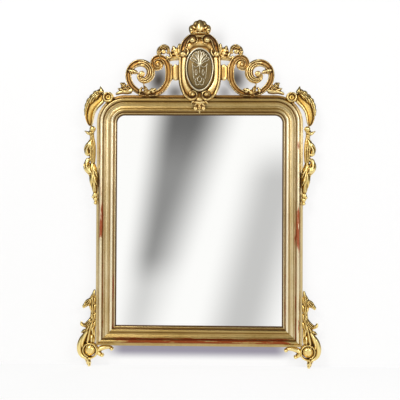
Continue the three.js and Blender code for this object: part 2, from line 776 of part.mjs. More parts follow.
function footScroll(grow = 0) {
  const options = { back: crestBack, rise: footRise, grow };
  const leafOptions = { ...options, rise: 24, section: ridged };
  const body = band(foot, [[16, 86, 26], [24, 56, 46], [30, 26, 56], [33, -6, 48]], options);
  const shoulder = band(
    foot,
    [[40, 46, 16], [56, 18, 24], [61, -5, 24], [57, -26, 22], [47, -39, 19], [34, -45, 14]],
    options,
  );
  const ring = band(
    foot,
    volute({ eye: footEye, eyeRadius: 23, joint: [28, -44], turns: 1, hand: 1, widths: [11, 12, 13] }),
    { ...options, rise: footRise + 4 },
  );
  const eye = button(foot, [...footEye, 40], crestBack, crestBack + footRise, grow);
  const tip = band(foot, [[32, -42, 30], [28, -64, 21], [26, -footTipDrop - 4, 13]], { ...leafOptions, rise: 26 });
  const leaf = band(
    foot,
    [[12, 66, 30], [12, 96, 27], [10, 126, 22], [11, 150, 26], [11, 178, 29], [5, 222, 6]],
    { ...leafOptions, step: 18 },
  );
  const upper = band(foot, [[14, 178, 22], [31, 167, 24], [45, 155, 11]], leafOptions);
  const lower = band(foot, [[12, 112, 16], [26, 91, 20], [42, 80, 17], [54, 84, 12], [57, 94, 5]], leafOptions);
  const standing = block(
    [halfWidth - 60, halfWidth + 120], [0, 100], [-footTipDrop - 40, -footTipDrop], grow,
  );
  return cut(join(body, shoulder, ring, eye, tip, leaf, upper, lower), standing);
}

function innerFootScroll() {
  const options = { back: crestBack, rise: 24 };
  const upper = band(foot, [[-6, -24, 18], [-19, -14, 16], [-37, -8, 14], [-55, -6, 12], [-68, -11, 12]], options);
  const lower = band(foot, [[-6, -18, 16], [-17, -33, 15], [-28, -38, 11]], options);
  const upperKnob = button(foot, [-66, -11, 15], crestBack, crestBack + 23);
  const lowerKnob = button(foot, [-28, -37, 15], crestBack, crestBack + 23);
  return join(upper, lower, upperKnob, lowerKnob);
}

// ---------------------------------------------------------------- Materials

function finish(color, roughness, metalness) {
  return () => new THREE.MeshStandardMaterial({ color, roughness, metalness });
}

const gilding = finish(0xc9a765, 0.38, 0.85);
const richGilding = finish(0xc08a3a, 0.36, 0.85);
const barePine = finish(0x8a6a45, 0.8, 0);
const oak = finish(0x7a5a38, 0.75, 0);
const silveredGlass = finish(0xe6e8e8, 0.04, 1);
const iron = finish(0x3a3632, 0.6, 0.7);

// ---------------------------------------------------------------- Assembly

const mirror = new THREE.Group();
mirror.position.z = -mountHeight;

function add(name, solid, material) {
  const { vertProperties, triVerts } = solid.getMesh();
  const geometry = new THREE.BufferGeometry();
  geometry.setAttribute('position', new THREE.BufferAttribute(new Float32Array(vertProperties), 3));
  geometry.setIndex(new THREE.BufferAttribute(new Uint32Array(triVerts), 1));
  const mesh = new THREE.Mesh(geometry, material());
  mesh.name = name;
  mirror.add(mesh);
}

// Adds a piece on the right and its mirror image on the left.
function addPair(name, solid, material) {
  add(`left_${name}`, mirrored(solid), material);
  add(`right_${name}`, solid, material);
}

// The frame's six members, with the sockets for tenons, keys, nails, battens and staples
const nailX = halfWidth - (mouldingWidth - plankLap) - 7;
const plankInner = mouldingWidth - plankLap + fitGap;
const plankPitch = (cornerZ + cornerRadius - 2 * plankInner) / plankCount;
const plankBottoms = Array.from({ length: plankCount }, (_, i) => plankInner + i * plankPitch);
const nailHeights = plankBottoms.map((bottom) => bottom + plankPitch / 2);
const nailHoles = nailHeights.map((z) => nail(nailX, z, fitGap));

const stile = cut(
  member(section, [mitreStation(1, 0, mitreGap), stileEnd(1)]),
  tenon(1, true, fitGap),
  mitreKey(1, fitGap),
  ...nailHoles,
);
addPair('stile', stile, gilding);

const cornerBlock = cut(
  member(section, cornerStations(1)),
  tenon(1, true, fitGap),
  tenon(1, false, fitGap),
);
addPair('corner_block', cornerBlock, gilding);

const bottomRail = cut(
  member(section, [mitreStation(-1, mitreGap), mitreStation(1, mitreGap)]),
  mitreKey(-1, fitGap),
  mitreKey(1, fitGap),
);
add('bottom_rail', bottomRail, gilding);

const railScrewZ = frameHeight - railScrewDrop;
const crestScrewZ = frameHeight + crestScrewHeight;
const stapleHoles = both(staple(fitGap));
const topRail = cut(
  member(section, [railEnd(-1), railEnd(1)]),
  tenon(-1, false, fitGap),
  tenon(1, false, fitGap),
  batten(-1, fitGap),
  batten(1, fitGap),
  screw(-battenSpread, railScrewZ, fitGap),
  screw(battenSpread, railScrewZ, fitGap),
  stapleHoles,
);
add('top_rail', topRail, gilding);

addPair('stile_tenon', tenon(1, true), oak);
addPair('rail_tenon', tenon(1, false), oak);
addPair('mitre_key', mitreKey(1), oak);

// The glass, its wedges, the backing planks and their nails
const glassInset = mouldingWidth - glassLap + fitGap;
add('mirror_glass', board(insetShape(glassInset, glassInset, frameHeight), glassBack, glassThickness), silveredGlass);

// A glass wedge: a right-angled strip against the rabbet wall and the back of the glass.
function wedge(placeAlong) {
  const thin = wedgeBack;
  const thick = wedgeBack + wedgeThickness;
  const profile = [[0, thin], [0, thick], [wedgeWidth, thick]];
  const rings = [-wedgeLength / 2, wedgeLength / 2].map((along) => (
    profile.map(([across, depth]) => {
      const [x, z] = placeAlong(across, along);
      return [x, -depth, z];
    })));
  return loft(rings, profile);
}

const wallX = halfWidth - glassInset;
const lowerWedgeZ = frameHeight * 0.28;
const upperWedgeZ = frameHeight * 0.72;
addPair('lower_side_wedge', wedge((across, along) => [wallX - across, lowerWedgeZ + along]), oak);
addPair('upper_side_wedge', wedge((across, along) => [wallX - across, upperWedgeZ + along]), oak);
add('bottom_wedge', wedge((across, along) => [along, glassInset + across]), oak);
add('top_wedge', wedge((across, along) => [along, frameHeight - glassInset - across]), oak);

plankBottoms.forEach((bottom, i) => {
  const last = i === plankCount - 1;
  const top = last ? frameHeight : bottom + plankPitch - fitGap;
  const plank = board(insetShape(plankInner, bottom, top), plankInset, plankThickness);
  const holes = [nail(nailX, nailHeights[i], fitGap), nail(-nailX, nailHeights[i], fitGap)];
  add(`backing_plank_${i + 1}`, cut(plank, ...holes), barePine);
  addPair(`plank_nail_${i + 1}`, nail(nailX, nailHeights[i]), iron);
});

// The crest on its battens
const cartoucheGrown = cartouche(fitGap);
const cScrollGrown = cScroll(fitGap);
const leafScrollGrown = leafScroll(fitGap);

const cartoucheBody = withoutChips(cut(
  cartouche(),
  seat,
  screw(-battenSpread, crestScrewZ, fitGap),
  screw(battenSpread, crestScrewZ, fitGap),
));
add('cartouche_body', cartoucheBody, richGilding);
add('cartouche_boss', cartoucheBoss(), gilding);
add('crest_finial', withoutChips(cut(crestFinial(), cartoucheGrown)), richGilding);
add('pendant_leaf', withoutChips(cut(pendantLeaf(), cartoucheGrown, seat)), richGilding);
addPair('c_scroll', withoutChips(cut(cScroll(), cartoucheGrown, leafScrollGrown, seat)), richGilding);
addPair('leaf_scroll', withoutChips(cut(leafScroll(), seat)), richGilding);
addPair('crest_bud', withoutChips(cut(crestBud(), cScrollGrown)), richGilding);
addPair('shoulder_leaf', withoutChips(cut(shoulderLeaf(), cScrollGrown, cartoucheGrown)), richGilding);

const rightBatten = cut(
  batten(1),
  screwHole(battenSpread, railScrewZ),
  screwHole(battenSpread, crestScrewZ),
);
addPair('crest_batten', rightBatten, barePine);
addPair('rail_screw', screw(battenSpread, railScrewZ), iron);
addPair('crest_screw', screw(battenSpread, crestScrewZ), iron);

// Corner scrolls, side drops and feet
const cornerScrollGrown = cornerScroll(fitGap);
const footScrollGrown = footScroll(fitGap);
addPair('corner_scroll', withoutChips(cut(cornerScroll(), seat)), richGilding);
addPair('side_drop', withoutChips(cut(sideDrop(), cornerScrollGrown, seat)), richGilding);
addPair('foot_scroll', withoutChips(cut(footScroll(), seat)), richGilding);
addPair('inner_foot_scroll', withoutChips(cut(innerFootScroll(), footScrollGrown, seat)), richGilding);

// The rings that it hangs by
addPair('staple', staple(), iron);
addPair('hanging_ring', hangingRing(), iron);

export default mirror;
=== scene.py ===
"""The looks of a carved and gilt overmantel mirror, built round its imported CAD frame."""

import math

import bpy
import numpy as np
from mathutils import Euler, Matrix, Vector


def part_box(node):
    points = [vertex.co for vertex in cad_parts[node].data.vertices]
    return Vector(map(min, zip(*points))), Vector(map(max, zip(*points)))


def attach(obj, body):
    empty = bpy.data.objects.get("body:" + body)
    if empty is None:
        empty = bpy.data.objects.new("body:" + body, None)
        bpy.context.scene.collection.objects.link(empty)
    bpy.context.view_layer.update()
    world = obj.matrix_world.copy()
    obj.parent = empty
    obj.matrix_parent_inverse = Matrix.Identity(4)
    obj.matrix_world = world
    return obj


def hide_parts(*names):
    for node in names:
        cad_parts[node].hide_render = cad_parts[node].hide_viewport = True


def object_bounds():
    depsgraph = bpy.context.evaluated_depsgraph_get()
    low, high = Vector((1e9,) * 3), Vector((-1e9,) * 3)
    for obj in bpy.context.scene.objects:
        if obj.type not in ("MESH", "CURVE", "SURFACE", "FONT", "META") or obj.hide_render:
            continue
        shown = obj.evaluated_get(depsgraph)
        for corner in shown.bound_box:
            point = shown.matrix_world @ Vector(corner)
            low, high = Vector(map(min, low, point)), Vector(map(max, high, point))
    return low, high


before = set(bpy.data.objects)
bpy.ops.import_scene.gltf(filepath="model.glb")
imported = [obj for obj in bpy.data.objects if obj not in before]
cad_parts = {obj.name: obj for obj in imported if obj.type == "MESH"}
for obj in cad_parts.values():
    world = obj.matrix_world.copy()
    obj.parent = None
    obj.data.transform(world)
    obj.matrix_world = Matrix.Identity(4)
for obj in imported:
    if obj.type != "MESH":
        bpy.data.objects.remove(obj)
cad_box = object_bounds()
mm = 0.001

# ---------------------------------------------------------------------------- The room
# A white wall close behind the mirror and a white floor under its feet. Wide soft lamps stand
# in front of it, and the world is a studio that the glass and the gold leaf reflect.

picture_size = 400
sensor_width = 36
mirror_foot = cad_box[0].z
mirror_back = cad_box[1].y
camera_distance = 3.2
camera_target = Vector((3.2 * mm, -30 * mm, 559.5 * mm))
camera_azimuth = math.radians(1.75)
camera_elevation = math.radians(-0.85)
camera_roll = math.radians(0.265)
picture_scale = 0.2505  # picture pixels for each millimetre at the camera's target

camera_data = bpy.data.cameras.new("camera")
camera_data.sensor_fit = "HORIZONTAL"
camera_data.sensor_width = sensor_width
camera_data.lens = sensor_width * picture_scale * camera_distance / mm / picture_size
camera = bpy.data.objects.new("camera", camera_data)
away = Vector((
    math.sin(camera_azimuth) * math.cos(camera_elevation),
    -math.cos(camera_azimuth) * math.cos(camera_elevation),
    math.sin(camera_elevation),
))
camera.location = camera_target + camera_distance * away
aim = (-away).to_track_quat("-Z", "Y").to_matrix().to_4x4()
roll = Euler((0, 0, camera_roll)).to_matrix().to_4x4()
camera.rotation_euler = (aim @ roll).to_euler()
bpy.context.scene.collection.objects.link(camera)
bpy.context.scene.camera = camera
bpy.context.scene.view_settings.view_transform = "Standard"


def operator(operation, swapped=False):
    """A method that adds the Math node of an operation on the value and another."""
    def result(self, other):
        return self.finish.math(operation, *((other, self) if swapped else (self, other)))
    return result


class Value:
    """A shader socket in an expression: each operator adds a Math node."""

    def __init__(self, finish, socket):
        self.finish, self.socket = finish, socket

    __add__ = __radd__ = operator("ADD")
    __mul__ = __rmul__ = operator("MULTIPLY")
    __sub__ = operator("SUBTRACT")
    __rsub__ = operator("SUBTRACT", swapped=True)
    __truediv__ = operator("DIVIDE")
    __pow__ = operator("POWER")


class Finish:
    """A node tree of a material or of the world, with methods that add nodes to it."""

    def __init__(self, owner):
        self.owner = owner
        owner.use_nodes = True
        self.tree = owner.node_tree
        self.tree.nodes.clear()

    def node(self, kind, settings=(), sockets=(), output=0):
        """A node of a type, with its settings set first and then its sockets' values or links."""
        made = self.tree.nodes.new(kind)
        for name, value in dict(settings).items():
            setattr(made, name, value)
        pairs = sockets.items() if isinstance(sockets, dict) else enumerate(sockets)
        for name, value in pairs:
            if isinstance(value, Value):
                self.tree.links.new(value.socket, made.inputs[name])
            else:
                made.inputs[name].default_value = value
        return Value(self, made.outputs[output]) if made.outputs else made

    def math(self, operation, *values):
        return self.node("ShaderNodeMath", {"operation": operation}, values)

    def vector(self, operation, *vectors):
        return self.node("ShaderNodeVectorMath", {"operation": operation}, vectors)

    def place(self):
        return self.node("ShaderNodeTexCoord", output=3)

    def attribute(self, name):
        return self.node("ShaderNodeAttribute", {"attribute_name": name}, output=2)

    def axes(self, vector):
        return [self.node("ShaderNodeSeparateXYZ", sockets=[vector], output=i) for i in range(3)]

    def noise(self, where, scale, detail=2.0, roughness=0.5):
        sockets = {"Vector": where, "Scale": scale, "Detail": detail, "Roughness": roughness}
        return self.node("ShaderNodeTexNoise", sockets=sockets)

    def rise(self, value, low, high):
        """0 below low, 1 above high and an S-curve between them; falling where low is above high."""
        settings = {"interpolation_type": "SMOOTHSTEP"}
        if low < high:
            return self.node("ShaderNodeMapRange", settings, {0: value, 1: low, 2: high})
        return self.node("ShaderNodeMapRange", settings, {0: value, 1: high, 2: low, 3: 1.0, 4: 0.0})

    def mix(self, share, first, second):
        """A colour between two colours."""
        return self.node("ShaderNodeMix", {"data_type": "RGBA"}, {0: share, 6: first, 7: second}, 2)

    def rays(self):
        """1 for the rays that show the background: those of the camera, of gloss and of glass."""
        straight, glossy, through = (self.node("ShaderNodeLightPath", output=i) for i in (0, 3, 6))
        return self.math("MAXIMUM", straight, self.math("MAXIMUM", glossy, through))

    def bump(self, strength, relief_depth, height):
        sockets = {"Strength": strength, "Distance": relief_depth * mm, "Height": height}
        return self.node("ShaderNodeBump", sockets=sockets)

    def surface(self, colour, rough, metal=0.0, bump=None):
        """The material, ended in one surface of these looks."""
        sockets = {"Base Color": colour, "Roughness": rough, "Metallic": metal}
        if bump:
            sockets["Normal"] = bump
        shader = self.node("ShaderNodeBsdfPrincipled", sockets=sockets)
        self.node("ShaderNodeOutputMaterial", sockets=[shader])
        return self.owner


def rgb(red, green, blue):
    """A colour from the 0 to 255 that a picture shows, made linear as a shader wants it."""
    shown = np.array([red, green, blue]) / 255
    linear = np.where(shown <= 0.04045, shown / 12.92, ((shown + 0.055) / 1.055) ** 2.4)
    return (*linear, 1.0)


def studio_light():
    """The world. What gloss and glass see is white ahead of the mirror and dimmer all round. A grey
    wedge leans across it from the top, and a paler grey band falls to the lower right. across and
    up are the slopes of a ray that leaves the glass."""
    world = Finish(bpy.data.worlds.new("studio"))
    x, y, z = world.axes(world.node("ShaderNodeTexCoord", output=0))
    ahead = world.math("MAXIMUM", y * -1.0, 0.02)
    across, up = x / ahead, z / ahead
    wedge = world.rise(across - up * 0.15, -0.122, -0.078) * world.rise(across - up * 0.35, -0.0115, -0.0795)
    depth = world.rise(up, -0.1, -0.05) * 0.33 + world.rise(up, 0.04, 0.12) * 0.14 + 0.39
    slant = across - up * 0.251
    pale = world.rise(slant, -0.004, 0.052) * world.rise(slant, 0.115, 0.06) * world.rise(up, 0.1, 0.035)
    grey = 1.0 - wedge * depth - pale * 0.42
    height = world.math("ABSOLUTE", z)
    front = world.rise(y, -0.8, -0.97) * 0.4
    sides = world.rise(height, 0.55, 0.15) * world.rise(y, 0.4, -0.3) * 0.43
    level = front + sides + world.rise(y, 0.6, -0.8) * 0.1 + 0.07
    seen = world.node("ShaderNodeBackground", sockets=[rgb(255, 254, 252), grey * level])
    shown = world.node("ShaderNodeBackground", sockets=[rgb(255, 255, 255), 1.0])
    fill = world.node("ShaderNodeBackground", sockets=[rgb(255, 253, 250), 0.38])
    camera_ray = world.node("ShaderNodeLightPath", output=0)
    seen = world.node("ShaderNodeMixShader", sockets=[camera_ray, seen, shown])
    mixed = world.node("ShaderNodeMixShader", sockets=[world.rays(), fill, seen])
    world.node("ShaderNodeOutputWorld", sockets=[mixed])
    return world.owner


bpy.context.scene.world = studio_light()


def plain_sheet(name, corners):
    """A flat stage sheet from its four corners."""
    mesh = bpy.data.meshes.new(name)
    mesh.from_pydata(corners, [], [(0, 1, 2, 3)])
    sheet = bpy.data.objects.new(name, mesh)
    bpy.context.scene.collection.objects.link(sheet)
    return sheet


def shade(paint, shadow_spots):
    """The wall's painted shadows: the most of a bell curve about each spot, which holds x, z, the two
    half-widths and the depth, in metres."""
    x, _, z = paint.axes(paint.place())
    total = 0.0
    for spot_x, spot_z, half_x, half_z, depth in shadow_spots:
        far = ((x - spot_x) / half_x) ** 2 + ((z - spot_z) / half_z) ** 2
        total = paint.math("MAXIMUM", total, paint.math("EXPONENT", far * -1.0) * depth)
    return total


def white_paint(name, glow, shadow_spots=()):
    """White paint that shows as white and still takes shadows. Where it has painted shadows of its own,
    behind the crest and under the bottom rail between the feet, the paint is clear from behind."""
    paint = Finish(bpy.data.materials.new(name))
    white = rgb(255, 255, 255)
    if shadow_spots:
        # Painted shadow: the wall darkens towards brown-grey about each shadow spot.
        white = paint.mix(shade(paint, shadow_spots), white, rgb(74, 66, 58))
        x, _, z = paint.axes(paint.place())
        # Painted shadow: a lavender-grey band on the wall under the bottom rail, between the feet.
        under = paint.rise(paint.math("ABSOLUTE", x), 0.4, 0.3)
        under = under * paint.rise(z, mirror_foot + 0.02, mirror_foot + 0.062) * paint.rise(z, 0.1, 0.02)
        white = paint.mix(under * 0.97, white, rgb(158, 153, 168))
    diffuse = paint.node("ShaderNodeBsdfDiffuse", sockets=[white])
    light = paint.node("ShaderNodeEmission", sockets=[white, 1.0])
    mixed = paint.node("ShaderNodeMixShader", sockets=[paint.rays() * glow, diffuse, light])
    if shadow_spots:
        clear = paint.node("ShaderNodeBsdfTransparent")
        behind = paint.node("ShaderNodeNewGeometry", output=6)
        mixed = paint.node("ShaderNodeMixShader", sockets=[behind, mixed, clear])
    paint.node("ShaderNodeOutputMaterial", sockets=[mixed])
    return paint.owner


# Painted shadows on the wall: in the crest's two openings, under its straps and beside the finial.
painted_crest_shadows = [
    (-0.168, 1.045, 0.045, 0.065, 0.97), (0.145, 1.05, 0.045, 0.06, 0.93), (-0.1, 0.995, 0.04, 0.035, 0.8),
    (0.1, 0.995, 0.035, 0.035, 0.6), (-0.085, 1.2, 0.05, 0.07, 0.3), (0.075, 1.2, 0.03, 0.05, 0.18),
]
room_half = 6.0
floor_front = 1.1
wall_clearance = 2 * mm
wall_y = mirror_back + wall_clearance
wall = plain_sheet("wall", [
    (-room_half, wall_y, mirror_foot), (room_half, wall_y, mirror_foot),
    (room_half, wall_y, mirror_foot + room_half), (-room_half, wall_y, mirror_foot + room_half),
])
wall.data.materials.append(white_paint("wall_paint", 0.8, painted_crest_shadows))
for ray in ("diffuse", "glossy", "transmission", "volume_scatter", "shadow"):
    setattr(wall, f"visible_{ray}", False)
floor = plain_sheet("floor", [
    (-room_half, -floor_front, mirror_foot), (room_half, -floor_front, mirror_foot),
    (room_half, room_half, mirror_foot), (-room_half, room_half, mirror_foot),
])
floor.data.materials.append(white_paint("floor_paint", 0.85))


def lamp(name, place, size, watts, colour=(1, 1, 1)):
    """A square area lamp that faces the middle of the mirror."""
    data = bpy.data.lights.new(name, "AREA")
    data.shape = "SQUARE"
    data.size = size
    data.energy = watts
    data.color = colour
    light = bpy.data.objects.new(name, data)
    light.location = place
    light.rotation_euler = (camera_target - Vector(place)).to_track_quat("-Z", "Y").to_euler()
    bpy.context.scene.collection.objects.link(light)


lamp("key_lamp", (-1.2, -2.4, 2.5), 1.2, 46, (1.0, 0.98, 0.95))
lamp("side_lamp", (1.8, -2.3, 1.5), 1.2, 26, (0.97, 0.98, 1.0))
lamp("back_lamp", (0.6, 3.0, 1.6), 2.0, 26)

# ---------------------------------------------------------------------------- The moulded frame
# Six lengths of one carved pine moulding: two stiles, two rounded corner blocks and two rails.
# Gesso rounds it off, and pale gold leaf is laid over red bole and rubbed through on the bead.

gap = 0.3
rail_low, rail_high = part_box("bottom_rail")
mitre_cut = 0.2  # how far the rail's tips are cut back
half_width = rail_high.x / mm + mitre_cut
frame_bottom = rail_low.z / mm
frame_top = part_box("top_rail")[1].z / mm
moulding_width = 82.0
corner_radius = 112.0
corner_x = half_width - corner_radius
corner_z = frame_top - corner_radius
glass_front = -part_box("mirror_glass")[0].y / mm + gap
plank_front = -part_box("backing_plank_1")[0].y / mm + gap


def curve(points, count):
    """A Bezier curve through its control points' pull, as count points without the first one."""
    t = np.linspace(0, 1, count + 1)[1:, None]
    order = len(points) - 1
    weights = [math.comb(order, i) * t**i * (1 - t) ** (order - i) for i in range(order + 1)]
    return sum(weight * np.array(point, float) for weight, point in zip(weights, points))


def arc(centre, radius, start, end, count):
    """Points on a circle from one angle to another, in degrees."""
    angle = np.radians(np.linspace(start, end, count))[:, None]
    return np.array(centre) + radius * np.hstack([np.cos(angle), np.sin(angle)])


def straight(start, end, count):
    """Points on a line after its start, up to and with its end."""
    t = np.linspace(0, 1, count + 1)[1:, None]
    return np.array(start) * (1 - t) + np.array(end) * t


def moulding_section():
    """The moulding's front and its back as rows of (u, d): u runs in from the outer edge and d
    forward from the wall. The front goes lip, cove, bead, quirk, fillet, ogee, astragal, groove,
    inner bead and sight edge; the back is the rabbets for the glass and the planks."""
    ogee = curve([(35.4, 38), (43, 32), (50, 32), (57, 40)], 40)
    flutes = 0.5 * np.cos((ogee[:, 0] - 36.5) * 2 * np.pi / 6.2) * np.exp(-((ogee[:, 0] - 46) / 7) ** 4)
    ogee[:, 1] += flutes
    front = np.vstack([
        [(0, 4), (0, 14)], straight((0, 14), (0, 24.6), 6), curve([(0, 24.6), (0, 26), (1.4, 26)], 5),
        straight((1.4, 26), (5.6, 26), 4), curve([(5.6, 26), (14.3, 26), (14.2, 41)], 18),
        arc((20.6, 41.6), 6.4, 178, 2, 28), straight((27, 41.6), (27.2, 34), 7),
        curve([(27.2, 34), (27.4, 33), (28.4, 33)], 4), straight((28.4, 33), (31.2, 33), 4),
        curve([(31.2, 33), (32, 33), (32.1, 34)], 3), straight((32.1, 34), (32.2, 38), 5),
        curve([(32.2, 38), (32.3, 39), (33.2, 39)], 4), straight((33.2, 39), (34.4, 39), 3),
        curve([(34.4, 39), (35.2, 39), (35.4, 38)], 3), ogee, arc((62.6, 38.8), 5.6, 176, 4, 24),
        straight((68.2, 38.8), (68.4, 30), 6), curve([(68.4, 30), (68.6, 29), (69.4, 29)], 3),
        straight((69.4, 29), (72.2, 29), 4), arc((74.8, 29.4), 2.5, 178, 4, 14),
        straight((77.3, 29.4), (78.8, 25.6), 4), curve([(78.5, 25.6), (79.4, 24), (81, 24)], 4),
        curve([(81, 24), (82, 24), (82, 23.2)], 3),
    ])
    back = np.array([
        (82, glass_front), (72, glass_front), (72, plank_front), (58, plank_front), (58, 0), (29, 0), (0, 0),
    ])
    return front, back


def skin(rings, loop=False):
    """Rings of equal length joined into a closed shell. rings has the shape (rings, points, 3)."""
    count, size = rings.shape[:2]
    here = np.arange(size)
    beyond = (here + 1) % size
    starts = np.arange(count if loop else count - 1)[:, None] * size
    ends = (starts + size) % (count * size)
    quads = np.stack([starts + here, ends + here, ends + beyond, starts + beyond], -1).reshape(-1, 4)
    faces = quads.tolist()
    if not loop:
        faces += [list(range(size)), list(range(count * size - 1, (count - 1) * size - 1, -1))]
    return rings.reshape(-1, 3), faces


def outward(verts, faces):
    """The faces turned so that the closed shell's volume is positive."""
    volume = 0.0
    for face in faces:
        corners = verts[list(face)]
        fan = np.cross(corners[1:-1] - corners[0], corners[2:] - corners[0])
        volume += (fan @ corners[0]).sum()
    return faces if volume > 0 else [list(face)[::-1] for face in faces]


def new_piece(name, verts, faces, attributes=(), flat_faces=0):
    """A piece of the mirror at the origin, from millimetres, with a value for each vertex. Its last
    faces, the sawn ends, are flat."""
    mesh = bpy.data.meshes.new(name)
    mesh.from_pydata((np.asarray(verts) * mm).tolist(), [], [list(face) for face in faces])
    for attribute, values in dict(attributes).items():
        mesh.attributes.new(attribute, "FLOAT", "POINT").data.foreach_set("value", np.asarray(values, "f"))
    mesh.polygons.foreach_set("use_smooth", np.arange(len(faces)) < len(faces) - flat_faces)
    piece = bpy.data.objects.new(name, mesh)
    bpy.context.scene.collection.objects.link(piece)
    return piece


def dress(piece, finish, node, body="mirror"):
    """The finish, the body and the slot of a piece that stands for a CAD node."""
    piece.data.materials.append(finish)
    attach(piece, body)
    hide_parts(node)


def gold_leaf(name, light, body, warm_shade, glaze_and_shade, bole, shine, wear, mottle=0.6):
    """Gold leaf over bole on gesso. Its tone wanders from sheet to sheet, with a painted highlight on what
    stands proud and a warm painted shade in the hollows. Old glaze and painted shade darken the creases and
    the sides, painted shade darkens the rails, and bole shows where the leaf is worn through; where the leaf
    attribute is 0 it is bare wood."""
    gold = Finish(bpy.data.materials.new(name))
    where = gold.place()
    relief_light_and_shade, leaf, worn, aged = (gold.attribute(each) for each in ("relief_light_and_shade", "leaf", "worn", "aged"))
    drawn_out = ((1, 1, 0.12), (0.12, 1, 1))
    upright, flat = (gold.noise(gold.vector("MULTIPLY", where, each), 110, 4, 0.6) for each in drawn_out)
    streak = upright * (1.0 - aged) + flat * aged
    cloud = gold.noise(where, 9, 3)
    fleck = gold.noise(where, 130, 4, 0.65)
    grain = gold.noise(where, 620, 3, 0.6)
    x, _, z = gold.axes(where)
    sheet_width = 0.081
    column, row = (gold.math("FLOOR", axis / sheet_width) for axis in (x, z))
    number = gold.node("ShaderNodeCombineXYZ", sockets=[column, row])
    sheet_tone = gold.node("ShaderNodeTexWhiteNoise", sockets={"Vector": number})
    lift = relief_light_and_shade + (fleck - 0.5) * 0.3 + (cloud - 0.5) * 0.25
    tone = gold.rise(sheet_tone * 0.08 + cloud * 0.7 + fleck * 0.3, 0.3, 0.85)
    colour = gold.mix(tone * mottle, body, light)
    # Painted highlight where the relief stands proud, and warm painted shade in the hollows.
    colour = gold.mix(gold.rise(lift, 0.0, 0.6) * 0.9, colour, light)
    colour = gold.mix(gold.rise(lift, 0.0, -0.4) * 0.8, colour, warm_shade)
    rubbed = worn + relief_light_and_shade * 0.2 * wear + (streak - 0.5) * 2.8 + (fleck - 0.5) * 0.5
    rubbed = gold.rise(rubbed, 0.5, 0.95)
    colour = gold.mix(rubbed * 0.92, colour, bole)
    # Painted shade: the rails, and each corner block towards its rail, are darkened by this multiply.
    colour = gold.node("ShaderNodeMix", {"data_type": "RGBA", "blend_type": "MULTIPLY"}, {
        0: aged, 6: colour, 7: rgb(219, 207, 174),
    }, 2)
    # Old glaze and painted shade: darkest in the creases and on the sides that turn away.
    glaze_and_shade_mask = gold.rise(lift + (grain - 0.5) * 0.3, -0.35, -0.9)
    colour = gold.mix(glaze_and_shade_mask * 0.9, colour, glaze_and_shade)
    wood = gold.mix(gold.rise(streak * 0.7 + grain * 0.3, 0.35, 0.65), rgb(92, 62, 38), rgb(136, 100, 66))
    bare = gold.rise(leaf + (fleck - 0.5) * 0.2, 0.55, 0.4)
    colour = gold.mix(bare, colour, wood)
    metal = (1.0 - glaze_and_shade_mask * 0.3) * (1.0 - rubbed * 0.15) * (1.0 - bare) * 0.94
    rough = (fleck - 0.5) * 0.16 + shine + glaze_and_shade_mask * 0.3 + rubbed * 0.3 + bare * 0.3
    height = fleck * 0.35 + grain * 0.25 + rubbed * -0.3
    return gold.surface(colour, rough, metal, gold.bump(0.5, 0.4, height))


pale_gold = gold_leaf(
    "pale_gold_leaf", rgb(255, 242, 208), rgb(204, 181, 126), rgb(146, 106, 56), rgb(88, 60, 34),
    rgb(172, 76, 32), 0.34, 1.0, 0.3,
)


# Painted light and shade across the moulding: how light (1) or dark (-1) the gold is painted at each u, as
# rows of (u, tone). The stiles have painted highlights on the bead and astragal and painted shade in the
# quirk, the top rail is in painted shade above, and the bottom rail's lip has a painted highlight.
stile_tones = [
    (0, -0.5), (1, 0), (12, -0.05), (15, 0.35), (25, 0.35), (27, -0.3), (30, -0.2), (31, 0.15), (33, 0.15),
    (34.5, -0.3), (37, -0.3), (40, 0.1), (44, 0.3), (48, 0.1), (56, 0), (59, 0.5), (66, 0.6), (69, -0.3),
    (72, -0.2), (74, 0.15), (77, 0), (78.5, -1.0), (82, -1.1),
]
top_tones = [
    (0, -0.5), (1, -0.4), (15, -0.35), (22, -0.15), (26, 0), (28, -0.3), (34, -0.2), (38, 0.2), (46, 0.3),
    (54, 0.2), (58, -0.15), (66, -0.3), (72, -0.3), (74, 0.1), (77, 0), (78.5, -1.0), (82, -1.1),
]
bottom_tones = [
    (0, -0.3), (1, 0.2), (11, 0.25), (14, -0.1), (26, -0.1), (28, -0.3), (36, -0.2), (40, 0), (56, 0),
    (60, -0.1), (66, -0.1), (69, -0.4), (72, -0.3), (75, 0.1), (77, 0), (78.5, -1.0), (82, -1.1),
]


def level_of(section, reach):
    """How far each point of a section stands proud of the section smoothed over reach: the depth
    less its average under a bell curve along the line."""
    run = np.concatenate([[0], np.cumsum(np.hypot(*np.diff(section, axis=0).T))])
    bell = np.exp(-(((run[:, None] - run[None, :]) / reach) ** 2))
    span = np.gradient(run)
    return section[:, 1] - (bell * span) @ section[:, 1] / (bell * span).sum(1)


